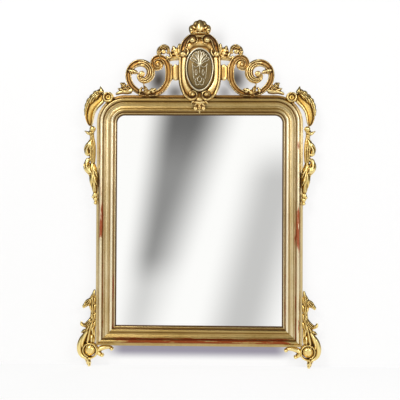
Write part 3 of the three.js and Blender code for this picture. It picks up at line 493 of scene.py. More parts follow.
def moulding(name, stations, tones=(stile_tones, stile_tones), aged=(0, 0), worn_at=None):
    """A length of moulding: the section set at each station, which turns u into (x, z). The gold's painted
    light and shade, and the rails' painted shade and level streaks, pass evenly from those of the first end
    to those of the last."""
    front, back = moulding_section()
    section = np.vstack([front, back])
    # Painted highlight and shade: lighter where the front stands proud of its smoothed self, darker in its
    # hollows.
    broad = np.clip(level_of(front, 5.5) / 4.5, -1, 1)
    fine = np.clip(level_of(front, 1.6) / 0.8, -1, 1)
    relief_light_and_shade = np.concatenate([broad * 0.3 + fine * 0.1, np.zeros(len(back))])
    first, last = (np.interp(section[:, 0], *np.array(rows).T) for rows in tones)
    share = np.linspace(0, 1, len(stations))[:, None]
    relief_light_and_shade = (relief_light_and_shade + first * (1 - share) + last * share).reshape(-1)
    leaf = np.concatenate([np.ones(len(front)), np.zeros(len(back))])
    places = np.array([station(section[:, 0]) for station in stations])
    rings = np.stack([places[:, 0], np.broadcast_to(-section[:, 1], places[:, 0].shape), places[:, 1]], -1)
    verts, faces = skin(rings)
    worn = np.zeros(len(verts)) if worn_at is None else worn_at(np.tile(section[:, 0], len(stations)), verts)
    rail_run_and_shade_values = np.linspace(*aged, len(stations)).repeat(len(section))
    attributes = {
        "relief_light_and_shade": relief_light_and_shade, "leaf": np.tile(leaf, len(stations)), "worn": worn, "aged": rail_run_and_shade_values,
    }
    return new_piece(name, verts, outward(verts, faces), attributes, flat_faces=2)


def window(value, low, high, soft):
    """1 between low and high, falling to 0 over soft on either side."""
    rise = np.clip((value - low) / soft + 1, 0, 1)
    fall = np.clip((high - value) / soft + 1, 0, 1)
    return rise * fall


def near_ends(start, end, count):
    """Even steps from start to end, with one more step close to each end to keep its shading true."""
    steps = np.linspace(start, end, count)
    close = (end - start) * 0.001
    return np.concatenate([[start, start + close], steps[1:-1], [end - close, end]])


def run_between(first, last, count):
    """Stations at even steps between two end stations."""
    return [
        lambda u, t=t: np.array(first(u)) * (1 - t) + np.array(last(u)) * t
        for t in near_ends(0, 1, count)
    ]


def level(u, value):
    """The same place for each u."""
    return np.full(len(u), value)


def box_shell(low, high, turn=0.0):
    """A box between two corners, turned about the y axis through its middle."""
    corner_signs = np.array([(x, y, z) for x in (-1, 1) for y in (-1, 1) for z in (-1, 1)])
    low, high = np.array(low), np.array(high)
    x, y, z = (corner_signs * (high - low) / 2).T
    cos, sin = math.cos(turn), math.sin(turn)
    verts = np.stack([x * cos - z * sin, y, x * sin + z * cos], -1) + (low + high) / 2
    faces = [(0, 1, 3, 2), (4, 6, 7, 5), (0, 4, 5, 1), (2, 3, 7, 6), (0, 2, 6, 4), (1, 5, 7, 3)]
    return verts, outward(verts, faces)


def box_of(node):
    """The corners of a CAD node's box in millimetres."""
    return [np.array(corner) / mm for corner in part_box(node)]


def frame_length(name, node, stations, housings=(), **looks):
    """A gilt length of the moulding in place of its CAD node, with a housing cut for each box."""
    piece = moulding(name, stations, **looks)
    for verts, faces in housings:
        cutter = new_piece("housing", verts, faces)
        cut = piece.modifiers.new("housing", "BOOLEAN")
        cut.object = cutter
        shape = piece.evaluated_get(bpy.context.evaluated_depsgraph_get())
        spent = [piece.data, cutter.data]
        piece.data = bpy.data.meshes.new_from_object(shape)
        piece.modifiers.clear()
        bpy.data.objects.remove(cutter)
        for mesh in spent:
            bpy.data.meshes.remove(mesh)
    dress(piece, pale_gold, node)


side_name = {-1: "left", 1: "right"}
seam = 0.04  # gesso closes the joints to a hairline
mitre_gap = seam / math.sqrt(2)
key_size = (54, 6, 18)
key_offset = 29.0
overcut = 1.0  # how far a housing's box stands out behind


def key_housing(side):
    """The housing of the key across a bottom mitre, which lies at 45 degrees."""
    middle = (side * (half_width - key_offset), overcut - key_size[1] / 2, frame_bottom + key_offset)
    half = np.array(key_size) / 2 + (gap, overcut + gap, gap)
    return box_shell(middle - half, middle + half, side * math.pi / 4)


def batten_housing(side):
    """The housing of a batten in the top rail's back, open at the top."""
    low, high = box_of(f"{side_name[side]}_crest_batten")
    return box_shell(low - gap, high + (gap, 2 * overcut, 0))


def stile(side):
    """A stile from its mitre up to its corner block. The bead is rubbed to the bole in a patch where
    hands have held it, the inner groove low down, and the quirk below the drop."""
    name = side_name[side]
    foot = lambda u: (side * (half_width - u), frame_bottom + u + mitre_gap)
    head = lambda u: (side * (half_width - u), level(u, corner_z - seam / 2))
    worn_heights, worn_rows = {-1: ((440, 528), (14, 28)), 1: ((380, 500), (14, 34))}[side]
    inner_wear = 0.9 if side < 0 else 0.5

    def worn(u, verts):
        patch = window(verts[:, 2], *worn_heights, 40) * window(u, *worn_rows, 3)
        inner = window(verts[:, 2], 40, 220, 90) * window(u, 69, 73, 2) * inner_wear
        bead = window(u, 15, 26, 3) * 0.32
        quirk = window(verts[:, 2], 20, 330, 60) * window(u, 27, 31, 1) * 0.65
        return np.clip(patch * 0.55 + inner * 0.8 + bead + quirk, 0, 1)

    stations = run_between(foot, head, 90)
    frame_length(f"{name}_gilt_stile", f"{name}_stile", stations, [key_housing(side)], worn_at=worn)


def corner_block(side):
    """A rounded corner, whose painted light and shade pass from the stile's to the top rail's, with the
    rails' painted shade.
    """
    name = side_name[side]
    angles = near_ends(0, np.pi / 2, 33)
    last = len(angles) - 1
    stations = [
        lambda u, a=a, i=i: (
            side * (corner_x + seam / 2 * (i == last) + (corner_radius - u) * math.cos(a)),
            corner_z + seam / 2 * (i == 0) + (corner_radius - u) * math.sin(a),
        )
        for i, a in enumerate(angles)
    ]
    frame_length(f"{name}_gilt_corner_block", f"{name}_corner_block", stations,
                 tones=(stile_tones, top_tones), aged=(0, 1))


def rail_wear(u, verts):
    """The bottom rail's bead and quirk have lost most of their leaf between the feet."""
    return window(u, 13, 33, 3) * window(np.abs(verts[:, 0]), -1, 330, 60) * 0.95


for side in (-1, 1):
    stile(side)
    corner_block(side)
left_end = lambda u: (-(half_width - u - mitre_gap), frame_bottom + u)
right_end = lambda u: (half_width - u - mitre_gap, frame_bottom + u)
frame_length("gilt_bottom_rail", "bottom_rail", run_between(left_end, right_end, 90),
             [key_housing(-1), key_housing(1)], tones=(bottom_tones, bottom_tones), aged=(1, 1),
             worn_at=rail_wear)
left_end = lambda u: (level(u, -corner_x + seam / 2), frame_top - u)
right_end = lambda u: (level(u, corner_x - seam / 2), frame_top - u)
frame_length("gilt_top_rail", "top_rail", run_between(left_end, right_end, 70),
             [batten_housing(-1), batten_housing(1)], tones=(top_tones, top_tones), aged=(1, 1))

# ---------------------------------------------------------------------------- The glass
# One sheet of silvered glass behind the sight edge. The silver is clean, with a few specks of
# foxing where damp has crept in from the rabbet.


def silvered_glass():
    """A smooth mirror, foxed in specks along its sides and its bottom."""
    glass = Finish(bpy.data.materials.new("silvered_glass"))
    where = glass.place()
    speck = glass.rise(glass.noise(where, 90, 4, 0.7), 0.68, 0.78)
    cloud = glass.rise(glass.noise(where, 5, 2), 0.52, 0.75)
    x, _, z = glass.axes(where)
    near_side = glass.rise(glass.math("ABSOLUTE", x), 0.27, 0.335)
    near_bottom = glass.rise(z, 0.12, 0.05)
    foxing = speck * glass.math("MAXIMUM", near_side, near_bottom) * (cloud * 0.7 + 0.3)
    colour = glass.mix(foxing * 0.6, rgb(252, 253, 253), rgb(120, 104, 84))
    return glass.surface(colour, foxing * 0.3 + 0.025, 1.0 - foxing * 0.5)


def refinish(node, finish):
    """A CAD node that keeps its shape and takes a finish."""
    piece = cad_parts[node]
    piece.data.materials.clear()
    piece.data.materials.append(finish)


refinish("mirror_glass", silvered_glass())

# ---------------------------------------------------------------------------- The cartouche
# The middle of the crest, carved in limewood: a broad rounded moulding round an oval boss, scrolled
# ears above, two volutes below, and a strap at each side. Gesso softens it, and it is gilt.

crest = (0.0, frame_top)
carving_back = 18.0
rich_gold = gold_leaf(
    "rich_gold_leaf", rgb(250, 226, 160), rgb(192, 146, 70), rgb(156, 104, 40), rgb(72, 46, 18),
    rgb(142, 74, 32), 0.32, 0.8,
)


def spline(points, step=1.7):
    """A smooth curve through rows of points (centripetal Catmull-Rom: knots spaced by the root of
    the distance), resampled at even steps along its first two columns."""
    rows = np.asarray(points, float)
    rows = np.vstack([2 * rows[0] - rows[1], rows, 2 * rows[-1] - rows[-2]])
    knots = np.concatenate([[0], np.cumsum(np.linalg.norm(np.diff(rows, axis=0), axis=1) ** 0.5)])
    t = np.linspace(knots[1], knots[-2], 30 * len(points))
    first = np.clip(np.searchsorted(knots, t) - 1, 1, len(knots) - 3) - 1
    knot = [knots[first + i] for i in range(4)]
    layer = [rows[first + i] for i in range(4)]
    for pairs in ([(0, 1), (1, 2), (2, 3)], [(0, 2), (1, 3)], [(1, 2)]):
        layer = [
            layer[i] + (layer[i + 1] - layer[i]) * ((t - knot[a]) / (knot[b] - knot[a]))[:, None]
            for i, (a, b) in enumerate(pairs)
        ]
    line = layer[0]
    run = np.concatenate([[0], np.cumsum(np.hypot(*np.diff(line[:, :2], axis=0).T))])
    even = np.linspace(0, run[-1], max(8, int(run[-1] / step)))
    return np.column_stack([np.interp(even, run, column) for column in line.T])


def volute(eye, eye_radius, joint, turns, hand, swell, widths):
    """A spiral from near its eye out to its joint with a band: the radius grows as turn^swell.
    widths are those at the eye, halfway and at the joint."""
    t = np.linspace(0, 1, math.ceil(turns * 14) + 1)
    reach = math.hypot(joint[0] - eye[0], joint[1] - eye[1])
    angle = math.atan2(joint[1] - eye[1], joint[0] - eye[0]) - hand * turns * 2 * np.pi * (1 - t)
    radius = eye_radius + (reach - eye_radius) * t**swell
    width = np.interp(t, [0, 0.5, 1], widths)
    return np.column_stack([eye[0] + radius * np.cos(angle), eye[1] + radius * np.sin(angle), width])


def domed(across, along):
    return 0.4 + 0.6 * np.sqrt(1 - 0.97 * across**2) + 0 * along


def coved(across, along):
    """A hollow between two rims that stand as bell curves near the band's edges."""
    rims = np.exp(-(((np.abs(across) - 0.8) / 0.19) ** 2))
    return 0.66 + 0.34 * rims - 0.05 * (1 - across**2) + 0 * along


def ribbed(across, along):
    """A rounded band with three grooves along it: a dome less a cosine that fades at the edges."""
    grooves = 0.5 - 0.5 * np.cos(across * 3.6 * np.pi)
    return 0.35 + 0.6 * np.sqrt(1 - 0.94 * across**2) - 0.22 * grooves * (1 - across**4) + 0 * along


def leafy(across, along):
    """A leaf that rises to its middle, with a vein down it."""
    vein = np.exp(-((across / 0.13) ** 2))
    return 0.34 + 0.56 * (1 - np.abs(across) ** 1.5) - 0.16 * vein + 0 * along


def band(route, rise, face=domed, lobes=0, notch=0.3, back=carving_back, flare=0.65, forward=(0, 0),
         lift=None, round_ends=True):
    """A carved band along a smooth route of (x, z, width): its back is flat, and its front stands
    rise * face(across, along) proud. Lobes cut its edges and its face in chevrons that lean to the
    tip, forward adds depth along it, and lift adds depth by place."""
    x, z, width = spline(route).T
    run = np.concatenate([[0], np.cumsum(np.hypot(np.diff(x), np.diff(z)))])
    along = (run / run[-1])[:, None]
    heading = np.unwrap(np.arctan2(np.gradient(z), np.gradient(x)))
    bend = np.gradient(heading) / np.gradient(run)
    across = np.linspace(-1, 1, 31)[None, :]
    half = np.broadcast_to(width[:, None] / 2, (len(x), across.size))
    inner = across * bend[:, None] > 0
    half = np.where(inner, np.minimum(half, 0.9 / np.maximum(np.abs(bend), 1e-6)[:, None]), half)
    height = face(across, along)
    if lobes:
        chevron = np.abs(np.sin(np.pi * (lobes * along**0.92 - 0.5 * np.abs(across) ** 1.3)))
        groove = (1 - chevron**0.7) * np.clip(np.abs(across) * 3 - 0.3, 0, 1)
        height = height * (1 - 0.42 * groove)
        scallop = np.abs(np.sin(np.pi * (lobes * along**0.92 - 0.5)))
        half = half * (1 - notch * (1 - scallop**0.6))
    if round_ends:
        ends = np.minimum(run, run[-1] - run) / np.maximum(width / 2, 1)
        half = half * np.sqrt(1 - (1 - np.clip(ends, 0.02, 1)) ** 2)[:, None]
    share = (1 - flare + flare * width / width.max())[:, None]
    ahead = np.interp(along, np.linspace(0, 1, len(forward)), forward)
    front = back + height * rise * share + ahead
    side = across * half
    px = x[:, None] - side * np.sin(heading)[:, None]
    pz = z[:, None] + side * np.cos(heading)[:, None]
    if lift:
        front = front + lift(px, pz)
    flat = np.full((len(x), 1), back)
    parts = [(px[:, :1], pz[:, :1], flat), (px, pz, front), (px[:, -1:], pz[:, -1:], flat)]
    return skin(np.concatenate([np.stack([a, -d, b], -1) for a, b, d in parts], 1))


def button(place, rise, back=carving_back, dip=0.0, ring=0.0):
    """A turned boss: a quarter round up to its rim, and a dome with a dip or a ring groove in it."""
    x, z, diameter = place
    radius = diameter / 2
    r = np.concatenate([[0, radius * 0.96], radius * np.cos(np.linspace(0, np.pi / 2, 22))])
    height = rise * (0.55 + 0.45 * np.sqrt(np.maximum(1 - (r / radius) ** 2, 0)))
    height[:2] = 0
    height[2:] -= dip * np.exp(-((r[2:] / (0.5 * radius)) ** 2))
    height[2:] -= ring * np.exp(-(((r[2:] - 0.68 * radius) / (0.11 * radius)) ** 2))
    angle = np.linspace(0, 2 * np.pi, 48, endpoint=False)[:, None]
    rings = np.stack([x + r * np.cos(angle), -(back + height) + 0 * angle, z + r * np.sin(angle)], -1)
    return skin(rings, loop=True)


def plate(half_outline, centre, levels, lift):
    """A plate mirrored about the middle from half its outline: its rings are the outline drawn in
    to a scale about the centre, each at its own depth."""
    line = spline(half_outline, 2.5)
    line[0, 0] = line[-1, 0] = 0
    outline = np.vstack([line, (line * [-1, 1])[-2:0:-1]])
    x, z = outline.T
    scale, depth = np.array(levels).T
    px = x * scale[:, None]
    pz = centre + (z - centre) * scale[:, None]
    front = depth[:, None] + lift(px, pz) * (np.arange(len(scale)) > 0)[:, None]
    return skin(np.stack([px, -front, pz], -1))


def seat_depth():
    """The moulding's section bridged from top to top: the least depth of what rides on it, as rows
    of (u, d) of its upper hull."""
    front = moulding_section()[0]
    hull = []
    for point in front[np.lexsort((front[:, 1], front[:, 0]))]:
        while len(hull) > 1 and np.cross(hull[-1] - hull[-2], point - hull[-2]) >= 0:
            hull.pop()
        hull.append(point)
    hull = np.array(hull) + (0, gap)
    return np.vstack([[-2.2, carving_back], [-gap, hull[1, 1]], hull[1:], [moulding_width + gap, 0]])


def inset(x, z):
    """How far a place lies in from the frame's outer edge, which is a box with two round corners."""
    across, up = np.abs(x) - corner_x, z - corner_z
    outside = np.hypot(np.maximum(across, 0), np.maximum(up, 0)) + np.minimum(np.maximum(across, up), 0)
    return np.minimum(corner_radius - outside, z - frame_bottom)


def neighbours_mean(values, quads, count):
    """The mean of the vertices next to each vertex along the quads' edges."""
    ends = np.concatenate([quads, np.roll(quads, -1, 1)], 1).reshape(-1)
    others = np.concatenate([np.roll(quads, -1, 1), quads], 1).reshape(-1)
    number = np.bincount(ends, minlength=count)
    return np.stack([np.bincount(ends, column[others], count) for column in values.T], -1) / number[:, None]


def vertex_normals(verts, quads):
    """The sum of the faces' normals round each vertex, at unit length."""
    a, b, c, d = (verts[quads[:, i]] for i in range(4))
    face = np.cross(c - a, d - b)
    total = np.stack([
        np.bincount(quads.reshape(-1), np.repeat(column, 4), len(verts)) for column in face.T
    ], -1)
    return total / np.maximum(np.linalg.norm(total, axis=1), 1e-9)[:, None]


# Two readings of the carving's relief, fine and broad, from which its painted highlight and shade come: how
# often the surface is smoothed, how far above that the gold is at its lightest, and the reading's weight.
relief_readings = ((6, 0.3, 0.65), (40, 2.4, 0.35))


def carve(origin, shells, grain=1.25, seated=True, tone=0.0):
    """Closed shells, placed at an origin (x, z), joined into one surface on a grid of cubes, then softened,
    and cut to the moulding that it rides on. relief_light_and_shade is how far the surface stands above its
    smoothed self, which paints a highlight on what stands proud and shade in the hollows, less a painted
    shade where it turns to the side, and tone lightens or darkens the whole of it. The leaf ends behind, on
    the bare wood."""
    verts = np.concatenate([shell_verts for shell_verts, _ in shells]) + (origin[0], 0, origin[1])
    starts = np.cumsum([0] + [len(shell_verts) for shell_verts, _ in shells])
    faces = [[i + start for i in face] for (_, part), start in zip(shells, starts) for face in part]
    rough = new_piece("carving_blank", verts, faces)
    remesh = rough.modifiers.new("joined", "REMESH")
    remesh.mode = "VOXEL"
    remesh.voxel_size = grain * mm
    shape = rough.evaluated_get(bpy.context.evaluated_depsgraph_get())
    mesh = shape.to_mesh()
    verts = np.empty(len(mesh.vertices) * 3, "f")
    mesh.vertices.foreach_get("co", verts)
    quads = np.empty(len(mesh.loops), "i")
    mesh.loops.foreach_get("vertex_index", quads)
    verts, quads = verts.reshape(-1, 3).astype(float) / mm, quads.reshape(-1, 4)
    blank = rough.data
    bpy.data.objects.remove(rough)
    bpy.data.meshes.remove(blank)
    for _ in range(2):
        verts += 0.5 * (neighbours_mean(verts, quads, len(verts)) - verts)
    if seated:
        seat = seat_depth()
        u = inset(verts[:, 0], verts[:, 2])
        under = (u > seat[0, 0]) & (u < seat[-1, 0])
        lowest = np.interp(u, seat[:, 0], seat[:, 1])
        verts[:, 1] = np.where(under, np.minimum(verts[:, 1], -lowest), verts[:, 1])
    normals = vertex_normals(verts, quads)
    smooth = verts
    relief_light_and_shade = tone
    for passes, reach, share in relief_readings:
        for _ in range(passes):
            smooth = neighbours_mean(smooth, quads, len(verts))
        above = ((verts - smooth) * normals).sum(1)
        relief_light_and_shade = relief_light_and_shade + share * np.clip(above / reach, -1, 1)
    facing = -normals[:, 1]
    # Painted shade on the sides: the relief drops where the surface turns away from the front.
    relief_light_and_shade -= 0.5 * np.clip((0.35 - facing) / 0.5, 0, 1)
    leaf = np.clip((facing + 0.75) / 0.3, 0, 1)
    return verts, quads, {"relief_light_and_shade": relief_light_and_shade, "leaf": leaf, "worn": np.zeros(len(verts))}


def carved_piece(name, node, carving, finish=rich_gold):
    """A piece made from a carving, riding with the mirror in place of its CAD node."""
    verts, quads, attributes = carving
    dress(new_piece(name, verts, quads.tolist(), attributes), finish, node)


def carved_pair(node, origin, shells, finish=rich_gold, **how):
    """A carving on the right and its mirror image on the left."""
    verts, quads, attributes = carve(origin, shells, **how)
    carved_piece(f"right_carved_{node}", f"right_{node}", (verts, quads, attributes), finish)
    other = (verts * [-1, 1, 1], quads[:, ::-1], attributes)
    carved_piece(f"left_carved_{node}", f"left_{node}", other, finish)


def twice(shells):
    """Shells and their mirror images."""
    return shells + [(verts * [-1, 1, 1], faces) for verts, faces in shells]


def apron(x, z):
    """Extra depth below the frame's top edge, on an S-curve, that takes the cartouche over the bead."""
    t = np.clip((4 - z) / 38, 0, 1)
    return 20 * t * t * (3 - 2 * t)


cartouche_centre = 102
cartouche_outline = [
    (0, 236), (20, 236), (39, 233), (58, 218), (75, 204), (82, 188), (83, 152), (86, 116), (86, 80),
    (84, 48), (77, 21), (64, -2), (48, -20), (32, -31), (12, -38), (0, -40),
]
body_levels = [
    (1.0, 18), (1.0, 31), (0.985, 34.5), (0.955, 35.5), (0.93, 35), (0.915, 36.5), (0.9, 40), (0.87, 43.5),
    (0.83, 46), (0.78, 47.5), (0.73, 47.5), (0.69, 46), (0.66, 43.6), (0.55, 43), (0.3, 43),
]
lower_eye = (28, -2)
upper_eye = (29, 216)
side_rim = np.vstack([
    [(78, 150, 9), (79, 118, 10), (79, 80, 10), (76, 46, 10), (67, 14, 11), (58, -4, 12)],
    volute(lower_eye, 11, (48, -12), 1.05, 1, 1.1, (5, 8, 12))[::-1],
])
ear = np.vstack([
    volute(upper_eye, 8, (44, 228), 0.9, -1, 1.0, (8, 13, 17)),
    [(56, 212, 23), (64, 194, 25), (70, 174, 20), (74, 158, 12)],
])
strap = [(97, 58, 30), (96, 74, 34), (96, 90, 35), (96, 106, 34), (97, 122, 30)]
carved_piece("carved_cartouche", "cartouche_body", carve(crest, [
    plate(cartouche_outline, cartouche_centre, body_levels, apron),
    *twice([
        band(side_rim, 30, domed, back=24, flare=0.15, lift=apron),
        band(ear, 31, coved, back=24, flare=0.3, lift=apron),
        band([(52, 186, 8), (46, 172, 11), (50, 158, 12), (60, 150, 8)], 29, domed, back=24),
        band(strap, 16, domed, back=20, flare=0.1),
        band([(113, 56, 5), (113, 74, 6), (113, 106, 6), (113, 124, 5)], 17, domed, back=20),
        band([(80, 156, 18), (84, 188, 18), (81, 206, 7)], 22, leafy, 2, back=24, forward=(0, 0, 5)),
        band([(18, -22, 14), (28, -32, 14), (35, -41, 5)], 20, leafy, 2, back=24, lift=apron),
        button((*lower_eye, 20), 44, 24),
        button((*upper_eye, 26), 37, 24),
        button((66, 160, 24), 33, 24, dip=4),
    ]),
], grain=1.4, tone=-0.1))

# ---------------------------------------------------------------------------- The boss
# The oval boss on the cartouche: a burnished rim, with a painted highlight, round a flat panel, which carries
# a traditional palmette, two lyre lines and drops raised in the gesso before it was gilt.

boss_half = (55.5, 88.0)
boss_centre = frame_top + cartouche_centre - 4
olive_gold = gold_leaf(
    "olive_gold_leaf", rgb(255, 248, 222), rgb(108, 88, 48), rgb(88, 68, 36), rgb(62, 42, 20),
    rgb(130, 70, 36), 0.4, 0.2, 0.1,
)


def boss_line(points, width):
    """The height of a raised line round a path: a bell curve of the distance to its polyline."""
    ends = spline([(*point, 0) for point in points], 2)[:, :2]

    def height(x, z):
        start, step = ends[:-1], np.diff(ends, axis=0)
        px, pz = x[..., None] - start[:, 0], z[..., None] - start[:, 1]
        t = np.clip((px * step[:, 0] + pz * step[:, 1]) / (step**2).sum(1), 0, 1)
        distance = np.hypot(px - t * step[:, 0], pz - t * step[:, 1]).min(-1)
        return np.exp(-((distance / width) ** 2))

    return height


palmette = [
    [(0, 18), (-5, 42), (-6, 62), (0, 78), (6, 62), (5, 42), (0, 18)],
    [(2, 20), (8, 44), (16, 62), (17, 72), (8, 66), (3, 40), (2, 20)],
    [(3, 20), (16, 40), (27, 52), (29, 62), (18, 56), (6, 36), (3, 20)],
    [(4, 19), (20, 30), (34, 38), (38, 47), (26, 44), (9, 30), (4, 19)],
]
boss_lines = palmette + [
    [(0, 20), (0, 4), (0, -14)], [(2, 18), (10, 10), (20, 10), (30, 20)],
    [(29, 24), (27, 2), (25, -20), (22, -38)],
    [(14, 0), (10, -12), (14, -24), (18, -12), (14, 0)],
    [(0, -26), (7, -34), (8, -44), (0, -52)], [(12, -34), (18, -44), (14, -56)],
    [(0, -58), (9, -62), (16, -58)],
]


def boss():
    """The boss as rings in to the middle: the outline swells by 5 % above its centre; the depth is a
    rounded rim, a step down, and a slow dome with the lines raised on it."""
    angle = np.linspace(0, 2 * np.pi, 360, endpoint=False)
    share = np.concatenate([
        [0.97, 1.0, 1.0, 0.993, 0.985], np.linspace(0.98, 0.9, 14), np.linspace(0.892, 0.02, 150),
    ])
    profile = np.interp(share, [0.02, 0.5, 0.8, 0.88, 0.892, 0.905, 0.92, 0.945, 0.97, 0.985, 1],
                        [57, 56, 53.5, 51.6, 51.6, 55, 58, 59.3, 58.6, 56.5, 53])
    profile[:2] = 44.3, 44.3
    x = boss_half[0] * np.cos(angle) * (1 + 0.05 * np.sin(angle))
    z = boss_half[1] * np.sin(angle)
    px, pz = share[:, None] * x, share[:, None] * z
    raised = np.zeros_like(px)
    for points in boss_lines:
        for side in (-1, 1):
            raised = np.maximum(raised, boss_line([(side * a, b) for a, b in points], 0.95)(px, pz))
    inside = np.clip((0.87 - share) / 0.03, 0, 1)[:, None]
    depth = profile[:, None] + 1.2 * raised * inside
    verts, faces = skin(np.stack([px, -depth, pz + boss_centre], -1))
    # Painted highlight on the rim, painted shade in the step down and on the rim's outer side, and the raised
    # lines painted lighter.
    relief_light_and_shade = np.where(share[:, None] > 0.91, 1.0, -0.12 + 0.68 * raised * inside) + 0 * px
    relief_light_and_shade = np.where((share[:, None] > 0.87) & (share[:, None] < 0.905), -0.8, relief_light_and_shade)
    relief_light_and_shade[:3] = -0.4
    return new_piece("gilt_boss", verts, outward(verts, faces), {
        "relief_light_and_shade": relief_light_and_shade.reshape(-1), "leaf": np.ones(relief_light_and_shade.size), "worn": np.zeros(relief_light_and_shade.size),
    })


dress(boss(), olive_gold, "cartouche_boss")

# ---------------------------------------------------------------------------- The finial and pendant
# A shell on a moulded foot crowns the cartouche, and a three-lobed leaf hangs over the top rail.

def finial_shell():
    """A fan of seven lobes: the radius and the depth both swell with the absolute sine of the
    angle, and the depth falls away to the edge."""
    angle = np.linspace(-0.42, np.pi + 0.42, 140)[:, None]
    share = np.linspace(0, 1, 26)[None, :]
    lobe = np.abs(np.sin((angle + 0.42) / (np.pi + 0.84) * 7 * np.pi)) ** 0.8
    radius = 36 * (1 + 0.07 * lobe) * share
    flute = 1 - (1 - lobe) * np.clip(share * 1.6, 0, 1) * 0.25
    depth = carving_back + 12 + 18 * np.sqrt(1 - 0.92 * share**2) * flute
    x, z = radius * np.cos(angle), 255 + radius * 1.2 * np.sin(angle)
    front = np.stack([x, -depth, z], -1)
    back = np.stack([x[:, ::-1], np.full_like(depth, -carving_back), z[:, ::-1]], -1)
    return skin(np.concatenate([front, back], 1))


carved_piece("carved_finial", "crest_finial", carve(crest, [
    finial_shell(),
    band([(0, 246, 36), (0, 262, 44), (0, 279, 36), (0, 295, 14)], 38, domed, flare=0.4),
    *twice([
        band([(20, 248, 14), (33, 257, 20), (37, 270, 14), (31, 280, 6)], 34, domed),
        button((33, 250, 15), 37),
    ]),
    band([(-27, 243, 8), (0, 244, 11), (27, 243, 8)], 40, domed, flare=0.2),
    band([(-17, 234, 13), (0, 234, 13), (17, 234, 13)], 26, domed, round_ends=False),
], grain=1.1, seated=False))

carved_piece("carved_pendant", "pendant_leaf", carve(crest, [
    band([(0, -30, 24), (0, -48, 29), (0, -60, 22), (0, -76, 5)], 38, leafy, 3, back=24, forward=(0, 0, 4)),
    *twice([
        band([(5, -30, 15), (16, -43, 17), (25, -53, 8)], 34, leafy, 2, back=24),
        button((16, -57, 17), 36, 24, dip=5),
    ]),
], grain=1.1))

# ---------------------------------------------------------------------------- The scrolls of the crest
# A C-scroll beside the cartouche and a leafy scroll outside it on each side, hollowed between two
# rims, with veined leaves at their joints. A bud and a shoulder leaf fill the gaps above them.

carved_pair("c_scroll", crest, [
    band(np.vstack([
        volute((168, 121), 7, (134, 131), 1.5, 1, 1.8, (6, 12, 25)),
        [(126, 108, 26), (125, 80, 25), (129, 52, 24), (142, 29, 23), (161, 12, 21), (184, 4, 19),
         (206, 2, 18)],
    ]), 25, coved),
    button((168, 121, 44), 15),
    button((168, 121, 14), 27),
    band([(139, 139, 14), (112, 145, 14), (80, 147, 13)], 18, ribbed),
    band([(134, 156, 10), (124, 148, 12), (112, 152, 9)], 24, domed),
    band([(210, 0, 16), (196, 16, 19), (182, 21, 15), (172, 22, 7)], 27, leafy, 3, back=20,
         forward=(0, 3, 5)),
    button((186, 12, 15), 28),
], tone=0.12)


def curled_leaf(across, along):
    """Ribbed like a leaf where it curls in, and a smooth S-curve on into the hollow band."""
    t = np.clip((along - 0.36) / 0.12, 0, 1)
    share = t * t * (3 - 2 * t)
    return ribbed(across, along) * (1 - share) + coved(across, along) * share


carved_pair("leaf_scroll", crest, [
    band(np.vstack([
        volute((232, 84), 10, (286, 86), 1.0, -1, 0.85, (11, 34, 24)),
        [(284, 60, 24), (273, 37, 24), (255, 20, 22), (234, 7, 20), (212, 2, 18)],
    ]), 25, curled_leaf),
    button((232, 84, 24), 30, dip=3),
    band([(288, 98, 22), (268, 95, 24), (246, 88, 9)], 26, leafy, 4, 0.4, back=20, forward=(0, 2, 4)),
    band([(213, -2, 22), (215, 16, 25), (222, 34, 10), (226, 46, 5)], 27, ribbed, 3, back=20,
         forward=(0, 3, 0)),
    band([(240, 4, 14), (238, 18, 16), (231, 33, 7)], 24, leafy, 2, back=20),
    band([(270, 18, 22), (292, 13, 19), (314, 12, 15), (330, 7, 12), (338, 2, 7)], 21, domed),
    band([(284, 14, 18), (298, 28, 28), (310, 42, 22), (320, 48, 8)], 25, ribbed, 4, 0.4, back=20),
    band([(302, 14, 14), (318, 22, 16), (330, 26, 7)], 22, leafy, 3, 0.4, back=20),
])

carved_pair("crest_bud", crest, [
    band([
        (158, 148, 18), (164, 170, 20), (158, 187, 21), (144, 194, 20), (130, 188, 18), (126, 175, 13),
        (133, 166, 9),
    ], 25, ribbed, 3, 0.15),
    button((146, 174, 20), 19, dip=3),
], seated=False, tone=-0.2)

carved_pair("shoulder_leaf", crest, [
    band([(86, 146, 26), (95, 166, 37), (102, 182, 30), (108, 198, 8)], 23, leafy, 4, 0.3, forward=(0, 0, 5)),
    band([(112, 150, 12), (118, 166, 15), (124, 176, 7)], 20, leafy, 2),
], seated=False)

# ---------------------------------------------------------------------------- Corner scrolls and drops
# A carved scroll rides over each rounded corner, and a drop of leaves, a husk and berries hangs
# from its ball down the stile. They are the yellowest gold on the mirror.

corner = (corner_x, corner_z)
corner_eye = (65, 101)
yellow_gold = gold_leaf(
    "yellow_gold_leaf", rgb(252, 230, 158), rgb(214, 172, 78), rgb(170, 122, 40), rgb(72, 48, 16),
    rgb(148, 84, 34), 0.32, 0.7,
)


def lipped(across, along):
    """A smooth hollow with its highest rim along the outer edge."""
    outer = np.exp(-(((across - 0.84) / 0.14) ** 2))
    inner = np.exp(-(((across + 0.82) / 0.3) ** 2))
    return 0.56 + 0.44 * outer + 0.2 * inner + 0 * along


